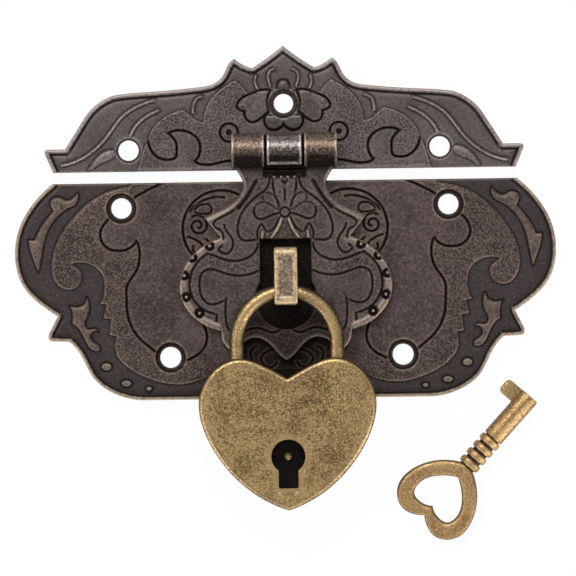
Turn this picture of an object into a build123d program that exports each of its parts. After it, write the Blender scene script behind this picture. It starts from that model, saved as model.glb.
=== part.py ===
from build123d import *
import os
from math import cos, radians, sin

# Embossed hasp latch with its heart padlock and key. Millimetres.
# The backs of both plates lie on Z = 0 and the face looks along +Z. +Y points up the lid.
# The origin is the centre of the staple, on the back of the lower plate.

# Sheet and relief
sheet_t = 1.5            # both plates
relief_h = 0.5           # raised ornament above the plate's field
rim_h = 0.6              # raised border above the field
rim_w = 0.6
groove_w = 0.45          # lines cut between the parts of the ornament
groove_depth = 0.3
screw_r = 1.8
lower_screw_r = 1.85
lid_centre_screw_r = 1.7

# Lower plate
lower_top_y = 16.8
lower_bottom_y = -21.6
lower_screws = [(28.9, 12.35), (20.55, -14.1)]
screw_seat_r = 2.6       # sunk ring round each lower screw hole
screw_seat_depth = 0.25
medallion_xy = (11.3, 8.5)
medallion_r = 6.8

# Lid plate, heights counted from its lower edge
lid_edge_y = 18.8
lid_apex = 21.9
lid_side_screw = (27.5, 3.75)
lid_centre_screw = (0, 11.7)

# Hinge
hinge_y = 22.3
hinge_z = 5.4
pin_r = 1.5
pin_play = 0.05
knuckle_r = 3.0
lid_knuckle_half = 3.05
outer_knuckle_in = 3.55
outer_knuckle_out = 9.3
curl_gap = 0.25          # seam where each rolled knuckle closes
curl_reach = 2.5         # from the knuckle's outside to its bore
pin_chamfer = 0.2

# Hasp leaf
leaf_z = hinge_z - knuckle_r
leaf_t = knuckle_r - pin_r
leaf_relief_h = 0.4
leaf_notch_y = -3.45     # edge between the knuckles, clear of the lid's knuckle
slot_half_w = 4.55
slot_top = -15.7         # below the hinge axis
slot_eye_y = -26.3
slot_eye_r = 5.4
lobe_band_w = 1.3        # raised band round the lobes
lobe_band_top, lobe_band_bottom = -14.5, -31.6
bead_r = 0.38
beads = [(13.35, -16.8), (16.4, -18.85), (17.9, -21.95), (17.6, -25.75), (15.3, -28.65)]

# Staple
staple_w = 4.1
staple_half_h = 5.1
staple_strip = 0.9
staple_top_z = 11.3
staple_bend_r = 1.1
tail_flare = 0.3         # peened tail in its countersink
staple_panel_w, staple_panel_h, staple_panel_depth = 2.5, 7.7, 0.15
staple_panel_corner_r = 0.4

# Padlock, centred on its own middle plane
lock_z = 8.7
case_t = 8.0
case_edge_r = 0.8        # of the face; the back's edge is only broken, by half as much
face_t = 1.0
side_t = 1.3
bar_d = 2.5
arch_r = 8.8
arch_y = -11.47          # centre of the arch
heel_xy = (-arch_r, -17.8)
heel_eye_r = 1.9
heel_eye_t = 2.4
heel_pin_r = 0.75
toe_end_y = -19.4
toe_chamfer = 0.5
toe_notch_y, toe_notch_h, toe_notch_depth = -17.5, 1.5, 0.85
shackle_swing = 50       # degrees that the open shackle turns
bar_gap = 0.15
toe_swing_gap = 0.5
toe_well_y, toe_well_h = -14.0, 6.0
heel_leg_reach = 9.0     # length of the opening that the swinging heel leg needs
keyhole_xy = (0, -31.7)
keyhole_r = 3.0
key_slot_w = 3.5
key_slot_end_y = -37.3
key_post_r = 0.65
key_post_sunk = 0.4      # its end lies this far below the face
key_post_chamfer = 0.3
rivet_r = 0.9
rivets = [(-12.1, -25.6), (12.1, -25.6), (-4.2, -19.2)]
boss_wall = 0.8

# Bolt inside the padlock: a plate on two posts, an arm up to the toe, a tail down to the key
bolt_t = 1.6
bolt_y = -22.4
bolt_half_w = 1.2
bolt_end_x = -3.0
bolt_arm_x1, bolt_arm_x2 = 5.1, 6.2
bolt_tip_x = 7.1         # drawn back, clear of the toe
bolt_tip_low, bolt_tip_high, bolt_arm_top = -17.9, -17.4, -17.0
bolt_tail_x1, bolt_tail_x2, bolt_tail_y = 1.2, 2.6, -28.0
bolt_travel = 1.1
bolt_post_r = 0.6
bolt_posts_x = (-0.6, 4.4)
bolt_fit = 0.03
bolt_seat_x, bolt_seat_l = 1.9, 9.0
spring_wire_r = 0.2
spring_r = 0.95
spring_turns = 5
spring_end_gap = 0.05
spring_stop_x, spring_stop_t, spring_stop_w, spring_stop_rise = -8.9, 1.0, 3.0, 1.6
strip_t, strip_w = 0.3, 3.0
strip_seat_xy, strip_seat_w, strip_seat_h = (-12.5, -22.2), 1.9, 1.1

# Key, lying beside the padlock
key_origin = (31.5, -34.2)
key_turn = -42.3         # degrees from the +Y direction
key_barrel_r = 1.85
key_length = 16.8        # from the bow to the end of the barrel
key_bore_r, key_bore_depth = 0.85, 6.0
collar_top = 6.9
collar_r = 2.0
collar_neck_r = 1.6
collar_rings = 4
bow_t = 2.2
bit_reach, bit_from, bit_to, bit_t = 4.85, 13.9, 16.7, 1.3
bit_root = 0.5           # how far the bit runs into the barrel's wall
bit_corner_r = 0.4

os.makedirs("parts", exist_ok=True)


def stretch(points):
    """Draw a line between two points, or arcs from point to point along a smooth curve through more."""
    if len(points) == 2:
        Line(*points)
        return
    guide = Spline(*points, mode=Mode.PRIVATE)
    places = [guide.param_at_point(point) for point in points]
    for i in range(len(points) - 1):
        ThreePointArc(points[i], guide @ ((places[i] + places[i + 1]) / 2), points[i + 1])


def outline(*stretches, both_sides=False):
    """Fill the outline that the stretches make, each ending in a corner where the next one starts.

    With both_sides, the stretches are the right half, from the middle line round to the middle line.
    """
    left_half = [[(-x, y) for x, y in reversed(points)] for points in reversed(stretches)]
    with BuildSketch() as shape:
        with BuildLine():
            for points in [*stretches, *(left_half if both_sides else [])]:
                stretch(points)
        make_face()
    return shape.sketch


def inset(face, amount):
    """The same outline drawn in by the amount."""
    with BuildSketch() as inner:
        add(face)
        offset(amount=-amount, mode=Mode.REPLACE)
    return inner.sketch


def grooves(*stretches):
    """Narrow channels along the stretches."""
    with BuildSketch() as channels:
        for points in stretches:
            with BuildLine() as line:
                stretch(points)
            trace(line.line, groove_w)
    return channels.sketch


# Outlines, right half

lower_outline = [
    [(0, lower_top_y), (41.0, lower_top_y)],
    [(41.0, lower_top_y), (43.6, 14.4), (47.0, 9.0), (47.8, 4.0), (46.3, -1.4), (42.7, -5.0), (40.4, -6.6)],
    [(40.4, -6.6), (42.0, -9.7)],
    [(42.0, -9.7), (41.9, -10.7), (41.0, -11.0)],
    [(41.0, -11.0), (38.4, -11.1)],
    [(38.4, -11.1), (36.4, -13.5), (34.1, -17.7), (30.0, -20.6), (25.0, lower_bottom_y)],
    [(25.0, lower_bottom_y), (0, lower_bottom_y)],
]

lid_outline = [
    [(0, 0), (40.9, 0)],
    [(40.9, 0), (42.3, 3.3)],
    [(42.3, 3.3), (42.2, 3.9), (41.7, 4.1)],
    [(41.7, 4.1), (38.7, 4.1)],
    [(38.7, 4.1), (35.2, 9.6)],
    [(35.2, 9.6), (33.2, 11.8), (30.0, 13.5)],
    [(30.0, 13.5), (22.0, 14.15), (15.0, 14.75), (12.4, 15.3), (10.6, 16.8), (9.6, 18.8), (8.6, 19.7)],
    [(8.6, 19.7), (7.2, 18.7), (5.5, 18.0)],
    [(5.5, 18.0), (3.0, 19.6), (0, lid_apex)],
]

leaf_outline = [
    [(0, leaf_notch_y), (outer_knuckle_in, leaf_notch_y)],
    [(outer_knuckle_in, leaf_notch_y), (outer_knuckle_in, 0)],
    [(outer_knuckle_in, 0), (outer_knuckle_out, 0)],
    [(outer_knuckle_out, 0), (outer_knuckle_out, -2.5)],
    [(outer_knuckle_out, -2.5), (7.9, -4.4), (7.3, -6.0), (8.2, -8.2), (10.4, -10.0), (14.25, -11.8)],
    [(14.25, -11.8), (11.4, -15.3)],
    [(11.4, -15.3), (13.7, -16.3), (16.7, -18.7), (18.6, -22.4), (18.6, -25.7), (16.8, -28.9), (12.4, -31.6)],
    [(12.4, -31.6), (11.5, -31.9)],
    [(11.5, -31.9), (10.8, -34.4), (9.1, -35.6)],
    [(9.1, -35.6), (7.8, -34.0), (5.5, -33.05), (3.3, -34.0), (1.3, -36.2), (0, -37.15)],
]

# Joints of the padlock's outline, which is smooth from the cleft to the point
heart_joints = [(0, -17.9), (6.5, -14.75), (12.3, -15.7), (15.6, -22.2), (13.5, -29.9), (6.3, -38.1), (0, -41.2)]
heart_rise = 35          # degrees that it rises at from the cleft
heart_corner_r = 1.5     # of the cleft and of the point


# Lower plate: relief outlines and grooves, right half

lower_panel = [
    [(0, lower_top_y - rim_w), (27.6, lower_top_y - rim_w)],
    [(27.6, lower_top_y - rim_w), (31.5, 15.4), (36.5, 11.9), (40.0, 7.3), (41.3, 2.8), (40.8, -0.3),
     (38.5, -1.9), (36.3, -0.8), (36.2, 1.4), (37.7, 2.6)],
    [(37.7, 2.6), (35.0, 2.7), (32.6, 0.8), (32.1, -1.2), (32.7, -4.4)],
    [(32.7, -4.4), (31.7, -4.6)],
    [(31.7, -4.6), (32.3, -7.0)],
    [(32.3, -7.0), (31.0, -7.2)],
    [(31.0, -7.2), (31.4, -10.0)],
    [(31.4, -10.0), (30.1, -10.2)],
    [(30.1, -10.2), (30.3, -12.4), (29.0, -15.0), (24.5, -17.8), (18.0, -18.8), (13.0, -17.6)],
    [(13.0, -17.6), (0, -16.4)],
]
lower_grooves = [
    [(30.9, 10.7), (32.6, 8.1), (31.1, 5.2), (28.0, 5.1), (26.3, 6.6)],
    [(26.3, 6.6), (25.8, 4.2), (27.5, -0.3), (28.2, -3.5), (27.6, -8.0), (23.0, -13.2)],
    [(17.9, -14.7), (15.4, -13.3), (14.1, -11.0), (14.7, -8.3)],
]
arrow_leaf = [
    [(36.6, 15.2), (38.6, 13.9), (39.6, 14.4), (41.0, 14.2), (41.3, 12.8), (40.9, 12.1)],
    [(40.9, 12.1), (43.8, 8.2), (44.3, 7.0)],
    [(44.3, 7.0), (45.4, 7.0)],
    [(45.4, 7.0), (44.9, 4.4), (43.7, 1.3)],
    [(43.7, 1.3), (43.0, 4.7), (42.2, 7.9), (39.6, 11.6), (37.1, 13.1), (36.6, 15.2)],
]
sprig = [
    [(35.3, -3.2), (35.9, -4.6), (38.3, -4.7)],
    [(38.3, -4.7), (37.7, -6.4), (37.9, -8.0)],
    [(37.9, -8.0), (36.5, -9.4), (34.8, -12.3), (32.9, -12.9)],
    [(32.9, -12.9), (34.2, -11.1), (33.3, -9.3)],
    [(33.3, -9.3), (35.2, -8.5), (34.8, -5.3), (35.3, -3.2)],
]
drops = [(31.9, -15.6, 0.8), (28.4, -18.6, 0.75), (24.4, -19.6, 0.5)]

with BuildPart() as lower_plate:
    with BuildSketch() as lower_edge:
        add(outline(*lower_outline, both_sides=True))
    extrude(amount=sheet_t)
    with BuildSketch(Plane.XY.offset(sheet_t)):
        add(lower_edge.sketch)
        add(inset(lower_edge.sketch, rim_w), mode=Mode.SUBTRACT)
    extrude(amount=rim_h)
    with BuildSketch(Plane.XY.offset(sheet_t)):
        add(outline(*lower_panel, both_sides=True))
        for shape in (arrow_leaf, sprig):
            add(outline(*shape))
        for x, y, drop_r in drops:
            with Locations((x, y)):
                Circle(drop_r)
        mirror(about=Plane.YZ)
    extrude(amount=relief_h)
    with BuildSketch(Plane.XY.offset(sheet_t + relief_h)):
        add(grooves(*lower_grooves))
        with Locations(medallion_xy):
            Circle(medallion_r + groove_w / 2)
            Circle(medallion_r - groove_w / 2, mode=Mode.SUBTRACT)
        mirror(about=Plane.YZ)
    extrude(amount=-groove_depth, mode=Mode.SUBTRACT)
    with BuildSketch(Plane.XY.offset(sheet_t + relief_h)):
        with Locations(*lower_screws):
            Circle(screw_seat_r)
        mirror(about=Plane.YZ)
    extrude(amount=-relief_h - screw_seat_depth, mode=Mode.SUBTRACT)
    with BuildSketch():
        with Locations(lower_screws[0]):
            Circle(screw_r)
        with Locations(lower_screws[1]):
            Circle(lower_screw_r)
        mirror(about=Plane.YZ)
    extrude(amount=sheet_t, mode=Mode.SUBTRACT)
    # Two slots for the staple's legs, countersunk behind for the peened tails
    leg_y = staple_half_h - staple_strip / 2
    with BuildSketch():
        with Locations((0, leg_y), (0, -leg_y)):
            Rectangle(staple_w, staple_strip)
    extrude(amount=sheet_t + relief_h, mode=Mode.SUBTRACT)
    with BuildSketch():
        with Locations((0, leg_y), (0, -leg_y)):
            Rectangle(staple_w + 2 * tail_flare, staple_strip + 2 * tail_flare)
    extrude(amount=tail_flare, taper=45, mode=Mode.SUBTRACT)
lower_plate.part.label = "lower_plate"
export_step(lower_plate.part, "parts/lower_plate.step")


# Staple: a strap bent to a U, its front sunk a little between worn edges

with BuildPart() as staple:
    with BuildSketch(Plane.YZ.offset(-staple_w / 2)):
        with Locations((0, staple_top_z / 2)):
            Rectangle(2 * staple_half_h, staple_top_z)
        with Locations((0, (staple_top_z - staple_strip) / 2)):
            Rectangle(2 * (staple_half_h - staple_strip), staple_top_z - staple_strip, mode=Mode.SUBTRACT)
    extrude(amount=staple_w)
    top_bends = staple.edges().filter_by(Axis.X).group_by(Axis.Z)[-1]
    fillet(top_bends, staple_bend_r)
    with BuildSketch(Plane.XY.offset(staple_top_z)):
        RectangleRounded(staple_panel_w, staple_panel_h, staple_panel_corner_r)
    extrude(amount=-staple_panel_depth, mode=Mode.SUBTRACT)
    with BuildSketch():
        with Locations((0, leg_y), (0, -leg_y)):
            Rectangle(staple_w + 2 * tail_flare, staple_strip + 2 * tail_flare)
    extrude(amount=tail_flare, taper=45)
staple.part.label = "staple"
export_step(staple.part, "parts/staple.step")


# Lid plate: relief outlines, right half, heights from its lower edge

long_vein = [
    [(22.9, 12.8), (27.0, 11.3), (30.3, 8.1), (33.0, 4.7), (37.0, 2.2), (39.6, 1.4)],
    [(39.6, 1.4), (37.0, 1.6), (33.0, 4.0), (29.9, 7.6), (26.7, 10.6), (22.9, 12.8)],
]
teardrop = [
    [(30.5, 4.1), (33.0, 2.7), (34.4, 0.8)],
    [(34.4, 0.8), (33.3, 1.2), (32.0, 2.1), (30.2, 3.2), (30.5, 4.1)],
]
lid_panel = [
    [(0, rim_w), (26.0, rim_w)],
    [(26.0, rim_w), (24.7, 4.6)],
    [(24.7, 4.6), (23.6, 7.3), (20.9, 9.9), (17.9, 10.9)],
    [(17.9, 10.9), (16.0, 9.6), (14.2, 8.7)],
    [(14.2, 8.7), (14.0, 10.8), (12.0, 13.7), (8.5, 16.0)],
    [(8.5, 16.0), (6.5, 13.9)],
    [(6.5, 13.9), (8.9, 12.0), (8.2, 9.4), (6.2, 7.6)],
    [(6.2, 7.6), (0, 6.2)],
]
lid_grooves = [
    [(24.0, 5.5), (22.8, 2.9), (20.2, 2.1), (19.0, 3.9), (20.5, 6.7)],
    [(20.5, 6.7), (17.5, 7.1), (15.0, 5.2), (15.8, 1.7)],
    [(15.8, 1.7), (12.6, 1.1), (9.8, 1.7)],
]
side_petal = [
    [(2.3, 14.1), (4.6, 14.0), (8.0, 12.0), (7.5, 10.6), (6.8, 10.5)],
    [(6.8, 10.5), (6.2, 8.7), (4.4, 8.9), (2.6, 10.3)],
    [(2.6, 10.3), (2.9, 12.2), (2.3, 14.1)],
]
lower_petal = [
    [(0, 8.0), (1.8, 7.0), (3.4, 8.5), (2.4, 9.6)],
    [(2.4, 9.6), (0, 9.4)],
    [(0, 9.4), (0, 8.0)],
]
crown = [
    [(0, 15.9), (0.9, 15.4), (1.1, 14.3)],
    [(1.1, 14.3), (0, 14.2)],
    [(0, 14.2), (0, 15.9)],
]
rosette_xy = (9.7, 6.7)
rosette_r = 1.6

with BuildPart() as lid_plate:
    with BuildSketch(Plane((0, lid_edge_y, 0))) as lid_edge:
        add(outline(*lid_outline, both_sides=True))
    extrude(amount=sheet_t)
    with BuildSketch(Plane((0, lid_edge_y, sheet_t))):
        add(lid_edge.sketch_local)
        add(inset(lid_edge.sketch_local, rim_w), mode=Mode.SUBTRACT)
    extrude(amount=rim_h)
    with BuildSketch(Plane((0, lid_edge_y, sheet_t))):
        add(outline(*lid_panel, both_sides=True))
        for shape in (long_vein, teardrop, side_petal, lower_petal, crown):
            add(outline(*shape))
        mirror(about=Plane.YZ)
        with Locations(lid_centre_screw):
            Circle(screw_seat_r, mode=Mode.SUBTRACT)
    extrude(amount=relief_h)
    with BuildSketch(Plane((0, lid_edge_y, sheet_t + relief_h))):
        add(grooves(*lid_grooves))
        with Locations(rosette_xy):
            Circle(rosette_r + groove_w / 2)
            Circle(rosette_r - groove_w / 2, mode=Mode.SUBTRACT)
        mirror(about=Plane.YZ)
    extrude(amount=-groove_depth, mode=Mode.SUBTRACT)
    # The tab turns up at the plate's edge and rolls back over the pin
    with BuildSketch(Plane.YZ.offset(-lid_knuckle_half)):
        with Locations((hinge_y, hinge_z)):
            Circle(knuckle_r)
        with Locations((hinge_y - (knuckle_r + pin_r) / 2, hinge_z / 2)):
            Rectangle(knuckle_r - pin_r, hinge_z)
        with Locations((hinge_y, hinge_z)):
            Circle(pin_r + pin_play, mode=Mode.SUBTRACT)
        with Locations((hinge_y - pin_r + curl_gap, hinge_z - knuckle_r + curl_reach / 2)):
            Rectangle(curl_gap, curl_reach, mode=Mode.SUBTRACT)
    extrude(amount=2 * lid_knuckle_half)
    with BuildSketch(Plane((0, lid_edge_y, 0))):
        with Locations(lid_side_screw, (-lid_side_screw[0], lid_side_screw[1])):
            Circle(screw_r)
        with Locations(lid_centre_screw):
            Circle(lid_centre_screw_r)
    extrude(amount=sheet_t + rim_h, mode=Mode.SUBTRACT)
lid_plate.part.label = "lid_plate"
export_step(lid_plate.part, "parts/lid_plate.step")


# Hasp leaf: relief outlines, right half, heights from the hinge axis

flower_y = -11.0
flower_centre_r = 1.0
petal_reach, petal_half_w = 4.6, 2.2
flower_angles = (18, -54, -126, 162, 90)
inner_lobe = [
    [(4.9, -22.4), (7.5, -22.1), (11.0, -21.4), (14.0, -21.0), (15.2, -23.6), (14.0, -26.7), (10.4, -26.2)],
    [(10.4, -26.2), (10.6, -30.0), (9.4, -32.4)],
    [(9.4, -32.4), (6.4, -31.0), (3.2, -31.9)],
    [(3.2, -31.9), (4.9, -22.4)],
]
scroll_leaf = [
    [(4.9, -16.2), (6.0, -18.4), (9.2, -19.4), (13.4, -18.2)],
    [(13.4, -18.2), (11.4, -17.8), (10.6, -16.0), (11.6, -14.2)],
    [(11.6, -14.2), (10.4, -12.4), (8.2, -11.4)],
    [(8.2, -11.4), (9.0, -14.2), (7.8, -16.2), (4.9, -16.2)],
]

with BuildPart() as hasp_leaf:
    with BuildSketch(Plane((0, hinge_y, leaf_z))) as leaf_edge:
        add(outline(*leaf_outline, both_sides=True))
    extrude(amount=leaf_t)
    # Raised band round each lobe, broken by beads
    with BuildSketch(Plane((0, hinge_y, leaf_z + leaf_t))):
        add(leaf_edge.sketch_local)
        add(inset(leaf_edge.sketch_local, lobe_band_w), mode=Mode.SUBTRACT)
        with Locations((0, (lobe_band_top + lobe_band_bottom) / 2)):
            Rectangle(4 * outer_knuckle_out, lobe_band_top - lobe_band_bottom, mode=Mode.INTERSECT)
        with Locations(*beads, *[(-x, y) for x, y in beads]):
            RegularPolygon(2 * bead_r, 8, mode=Mode.SUBTRACT)
    extrude(amount=leaf_relief_h)
    with BuildSketch(Plane((0, hinge_y, leaf_z + leaf_t))):
        with Locations(*beads, *[(-x, y) for x, y in beads]):
            RegularPolygon(bead_r, 8)
        for shape in (inner_lobe, scroll_leaf):
            add(outline(*shape))
        mirror(about=Plane.YZ)
        for angle in flower_angles:
            with Locations(Location((0, flower_y), angle)):
                with Locations((petal_reach / 2, 0)):
                    Ellipse(petal_reach / 2, petal_half_w)
        with Locations((0, flower_y)):
            Circle(flower_centre_r)
    extrude(amount=leaf_relief_h)
    # Keyhole-shaped slot that drops over the staple
    with BuildSketch(Plane((0, hinge_y, leaf_z))):
        with Locations((0, (slot_top + slot_eye_y) / 2)):
            Rectangle(2 * slot_half_w, slot_top - slot_eye_y)
        with Locations((0, slot_eye_y)):
            Circle(slot_eye_r)
    extrude(amount=leaf_t + leaf_relief_h, mode=Mode.SUBTRACT)
    # Two knuckles, the leaf's sheet rolled under and over the pin
    with BuildSketch(Plane.YZ):
        with Locations((hinge_y, hinge_z)):
            Circle(knuckle_r)
            Circle(pin_r, mode=Mode.SUBTRACT)
        with Locations((hinge_y - knuckle_r + curl_reach / 2, leaf_z + leaf_t + curl_gap / 2)):
            Rectangle(curl_reach, curl_gap, mode=Mode.SUBTRACT)
    extrude(amount=outer_knuckle_out, both=True)
    with BuildSketch(Plane.YZ):
        with Locations((hinge_y, hinge_z)):
            Circle(knuckle_r + 2 * pin_play)
    extrude(amount=outer_knuckle_in, both=True, mode=Mode.SUBTRACT)
    with BuildSketch(Plane.YZ):
        with Locations((hinge_y, hinge_z)):
            Circle(pin_r)
    extrude(amount=outer_knuckle_out, both=True, mode=Mode.SUBTRACT)
hasp_leaf.part.label = "hasp_leaf"
export_step(hasp_leaf.part, "parts/hasp_leaf.step")


with BuildPart() as hinge_pin:
    with BuildSketch(Plane.YZ.offset(-outer_knuckle_out)):
        with Locations((hinge_y, hinge_z)):
            Circle(pin_r)
    extrude(amount=2 * outer_knuckle_out)
    chamfer(hinge_pin.edges().group_by(Axis.X)[0] + hinge_pin.edges().group_by(Axis.X)[-1], pin_chamfer)
hinge_pin.part.label = "hinge_pin"
export_step(hinge_pin.part, "parts/hinge_pin.step")


# Shackle: round bar, heel leg with a pivot eye, toe leg with a notch for the bolt

heel_x, heel_y = heel_xy
with BuildPart() as shackle:
    with BuildLine() as bar_path:
        Line((heel_x, heel_y, lock_z), (heel_x, arch_y, lock_z))
        RadiusArc((heel_x, arch_y, lock_z), (arch_r, arch_y, lock_z), arch_r)
        Line((arch_r, arch_y, lock_z), (arch_r, toe_end_y, lock_z))
    with BuildSketch(Plane((heel_x, heel_y, lock_z), x_dir=(1, 0, 0), z_dir=(0, 1, 0))):
        Circle(bar_d / 2)
    sweep()
    chamfer(shackle.edges().group_by(Axis.Y)[0], toe_chamfer)
    with BuildSketch(Plane((heel_x, heel_y, lock_z - heel_eye_t / 2))):
        Circle(heel_eye_r)
    extrude(amount=heel_eye_t)
    with BuildSketch(Plane((heel_x, heel_y, lock_z - bar_d))):
        Circle(heel_pin_r + pin_play)
    extrude(amount=2 * bar_d, mode=Mode.SUBTRACT)
    with BuildSketch(Plane((arch_r - bar_d / 2, toe_notch_y, lock_z - bar_d))):
        Rectangle(2 * toe_notch_depth, toe_notch_h)
    extrude(amount=2 * bar_d, mode=Mode.SUBTRACT)
shackle.part.label = "shackle"
export_step(shackle.part, "parts/shackle.step")


# Heart case: two cast shells that meet on the middle plane

strip_path = [(-11.05, -18.3), (-11.4, -20.4), (-12.6, -22.6)]


def spring_strip():
    """Edge view of the bent strip that turns the freed shackle."""
    with BuildSketch() as strip:
        with BuildLine() as path:
            Spline(*strip_path)
        trace(path.line, strip_t)
    return strip.sketch


def heart_face():
    """Each half of the heart is a chain of arcs that run smoothly into each other."""
    with BuildSketch() as shape:
        with BuildLine():
            heading = Vector(cos(radians(heart_rise)), sin(radians(heart_rise)))
            for start, end in zip(heart_joints, heart_joints[1:]):
                heading = TangentArc(start, end, tangent=heading) % 1
            mirror(about=Plane.YZ)
        make_face()
        fillet(shape.vertices().filter_by_position(Axis.X, -heart_corner_r, heart_corner_r), heart_corner_r)
    return shape.sketch


def half_case(face_side):
    """Half of the heart case, with its closed face towards +Z (1) or -Z (-1)."""
    half = case_t / 2
    middle = Plane((0, 0, lock_z))
    with BuildPart() as half_shell:
        with BuildSketch(middle) as heart:
            add(heart_face())
        extrude(amount=face_side * half)
        if face_side > 0:
            fillet(half_shell.edges().group_by(Axis.Z)[-1], case_edge_r)
        else:
            chamfer(half_shell.edges().group_by(Axis.Z)[0], case_edge_r / 2)
        with BuildSketch(middle):
            add(inset(heart.sketch_local, side_t))
        extrude(amount=face_side * (half - face_t), mode=Mode.SUBTRACT)
        # Bosses for the rivets and the heel pin, bored blind
        with BuildSketch(middle):
            with Locations(*rivets):
                Circle(rivet_r + boss_wall)
        extrude(amount=face_side * (half - face_t))
        with BuildSketch(middle.offset(face_side * (heel_eye_t / 2 + bar_gap))):
            with Locations(heel_xy):
                Circle(heel_pin_r + boss_wall)
        extrude(amount=face_side * (half - face_t - heel_eye_t / 2 - bar_gap))
        with BuildSketch(middle):
            with Locations(*rivets):
                Circle(rivet_r)
            with Locations(heel_xy):
                Circle(heel_pin_r)
        extrude(amount=face_side * (half - face_t / 2), mode=Mode.SUBTRACT)
        # Openings in the rim: the heel leg's swing and the toe's well
        with BuildSketch(middle):
            with BuildLine():
                Polyline(*heel_opening, close=True)
            make_face()
            with Locations((arch_r - toe_swing_gap / 2 + bar_gap / 2, toe_well_y)):
                Rectangle(bar_d + bar_gap + toe_swing_gap, toe_well_h)
        extrude(amount=face_side * (bar_d / 2 + bar_gap), mode=Mode.SUBTRACT)
    return half_shell.part


swing = radians(shackle_swing)
leg_side = bar_d / 2 + bar_gap
open_x, open_y = heel_x - leg_side * cos(swing), heel_y - leg_side * sin(swing)
heel_opening = [
    (heel_x + leg_side, heel_y), (heel_x + leg_side, heel_y + heel_leg_reach),
    (heel_x - leg_side, heel_y + heel_leg_reach),
    (open_x - heel_leg_reach * sin(swing), open_y + heel_leg_reach * cos(swing)), (open_x, open_y),
]
front_half = half_case(1)
back_half = half_case(-1)

with BuildPart() as front_shell:
    add(front_half)
    with BuildSketch(Plane((0, 0, lock_z))):
        with Locations(keyhole_xy):
            Circle(keyhole_r)
        with Locations((0, (keyhole_xy[1] + key_slot_end_y) / 2)):
            Rectangle(key_slot_w, keyhole_xy[1] - key_slot_end_y)
    extrude(amount=case_t, mode=Mode.SUBTRACT)
front_shell.part.label = "front_shell"
export_step(front_shell.part, "parts/front_shell.step")


with BuildPart() as back_shell:
    add(back_half)
    with BuildSketch(Plane((0, 0, lock_z - case_t / 2 + face_t / 2))):
        with Locations(keyhole_xy):
            Circle(key_post_r)
        with Locations(*[(x, bolt_y) for x in bolt_posts_x]):
            Circle(bolt_post_r)
    extrude(amount=face_t, mode=Mode.SUBTRACT)
    # Seat that the bolt slides on, and the stop behind its spring
    with BuildSketch(Plane((0, 0, lock_z - case_t / 2 + face_t))):
        with Locations((bolt_seat_x, bolt_y)):
            Rectangle(bolt_seat_l, 2 * bolt_half_w)
        with Locations(*[(x, bolt_y) for x in bolt_posts_x]):
            Circle(bolt_post_r, mode=Mode.SUBTRACT)
    extrude(amount=case_t / 2 - face_t - bolt_t / 2)
    with BuildSketch(Plane((0, 0, lock_z - case_t / 2 + face_t))):
        with Locations((spring_stop_x, bolt_y)):
            Rectangle(spring_stop_t, spring_stop_w)
    extrude(amount=case_t / 2 - face_t + spring_stop_rise)
    with BuildSketch(Plane((0, 0, lock_z - case_t / 2 + face_t))):
        with Locations(strip_seat_xy):
            Rectangle(strip_seat_w, strip_seat_h)
        add(spring_strip(), mode=Mode.SUBTRACT)
    extrude(amount=case_t / 2 - face_t + strip_w / 2)
back_shell.part.label = "back_shell"
export_step(back_shell.part, "parts/back_shell.step")


# Pins and posts of the case

case_floor_z = lock_z - case_t / 2 + face_t / 2
case_roof_z = lock_z + case_t / 2 - face_t / 2

with BuildPart() as heel_pin:
    with BuildSketch(Plane((heel_x, heel_y, case_floor_z))):
        Circle(heel_pin_r)
    extrude(amount=case_roof_z - case_floor_z)
heel_pin.part.label = "heel_pin"
export_step(heel_pin.part, "parts/heel_pin.step")

with BuildPart() as case_rivets:
    with BuildSketch(Plane((0, 0, case_floor_z))):
        with Locations(*rivets):
            Circle(rivet_r)
    extrude(amount=case_roof_z - case_floor_z)
case_rivets.part.label = "case_rivets"
export_step(case_rivets.part, "parts/case_rivets.step")

with BuildPart() as key_post:
    with BuildSketch(Plane((*keyhole_xy, case_floor_z))):
        Circle(key_post_r)
    extrude(amount=lock_z + case_t / 2 - key_post_sunk - case_floor_z)
    chamfer(key_post.edges().group_by(Axis.Z)[-1], key_post_chamfer)
key_post.part.label = "key_post"
export_step(key_post.part, "parts/key_post.step")

with BuildPart() as bolt_posts:
    with BuildSketch(Plane((0, 0, case_floor_z))):
        with Locations(*[(x, bolt_y) for x in bolt_posts_x]):
            Circle(bolt_post_r)
    extrude(amount=lock_z + bolt_t - case_floor_z)
bolt_posts.part.label = "bolt_posts"
export_step(bolt_posts.part, "parts/bolt_posts.step")


# Bolt: flat plate on two posts, its bevelled tip beside the toe and its tail within reach of the key

bolt_edge = [
    (bolt_end_x, bolt_y + bolt_half_w), (bolt_arm_x1, bolt_y + bolt_half_w), (bolt_arm_x1, bolt_arm_top),
    (bolt_tip_x - bolt_travel / 2, bolt_arm_top), (bolt_tip_x, bolt_tip_high), (bolt_tip_x, bolt_tip_low),
    (bolt_arm_x2, bolt_tip_low), (bolt_arm_x2, bolt_y - bolt_half_w),
    (bolt_tail_x2, bolt_y - bolt_half_w), (bolt_tail_x2, bolt_tail_y), (bolt_tail_x1, bolt_tail_y),
    (bolt_tail_x1, bolt_y - bolt_half_w), (bolt_end_x, bolt_y - bolt_half_w),
]

with BuildPart() as locking_bolt:
    with BuildSketch(Plane((0, 0, lock_z - bolt_t / 2))):
        with BuildLine():
            Polyline(*bolt_edge, close=True)
        make_face()
        for x in bolt_posts_x:
            with Locations((x - bolt_travel / 2, bolt_y)):
                SlotCenterToCenter(bolt_travel, 2 * (bolt_post_r + bolt_fit), mode=Mode.SUBTRACT)
    extrude(amount=bolt_t)
locking_bolt.part.label = "locking_bolt"
export_step(locking_bolt.part, "parts/locking_bolt.step")


# Coil spring between the stop and the bolt's tail end

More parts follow.
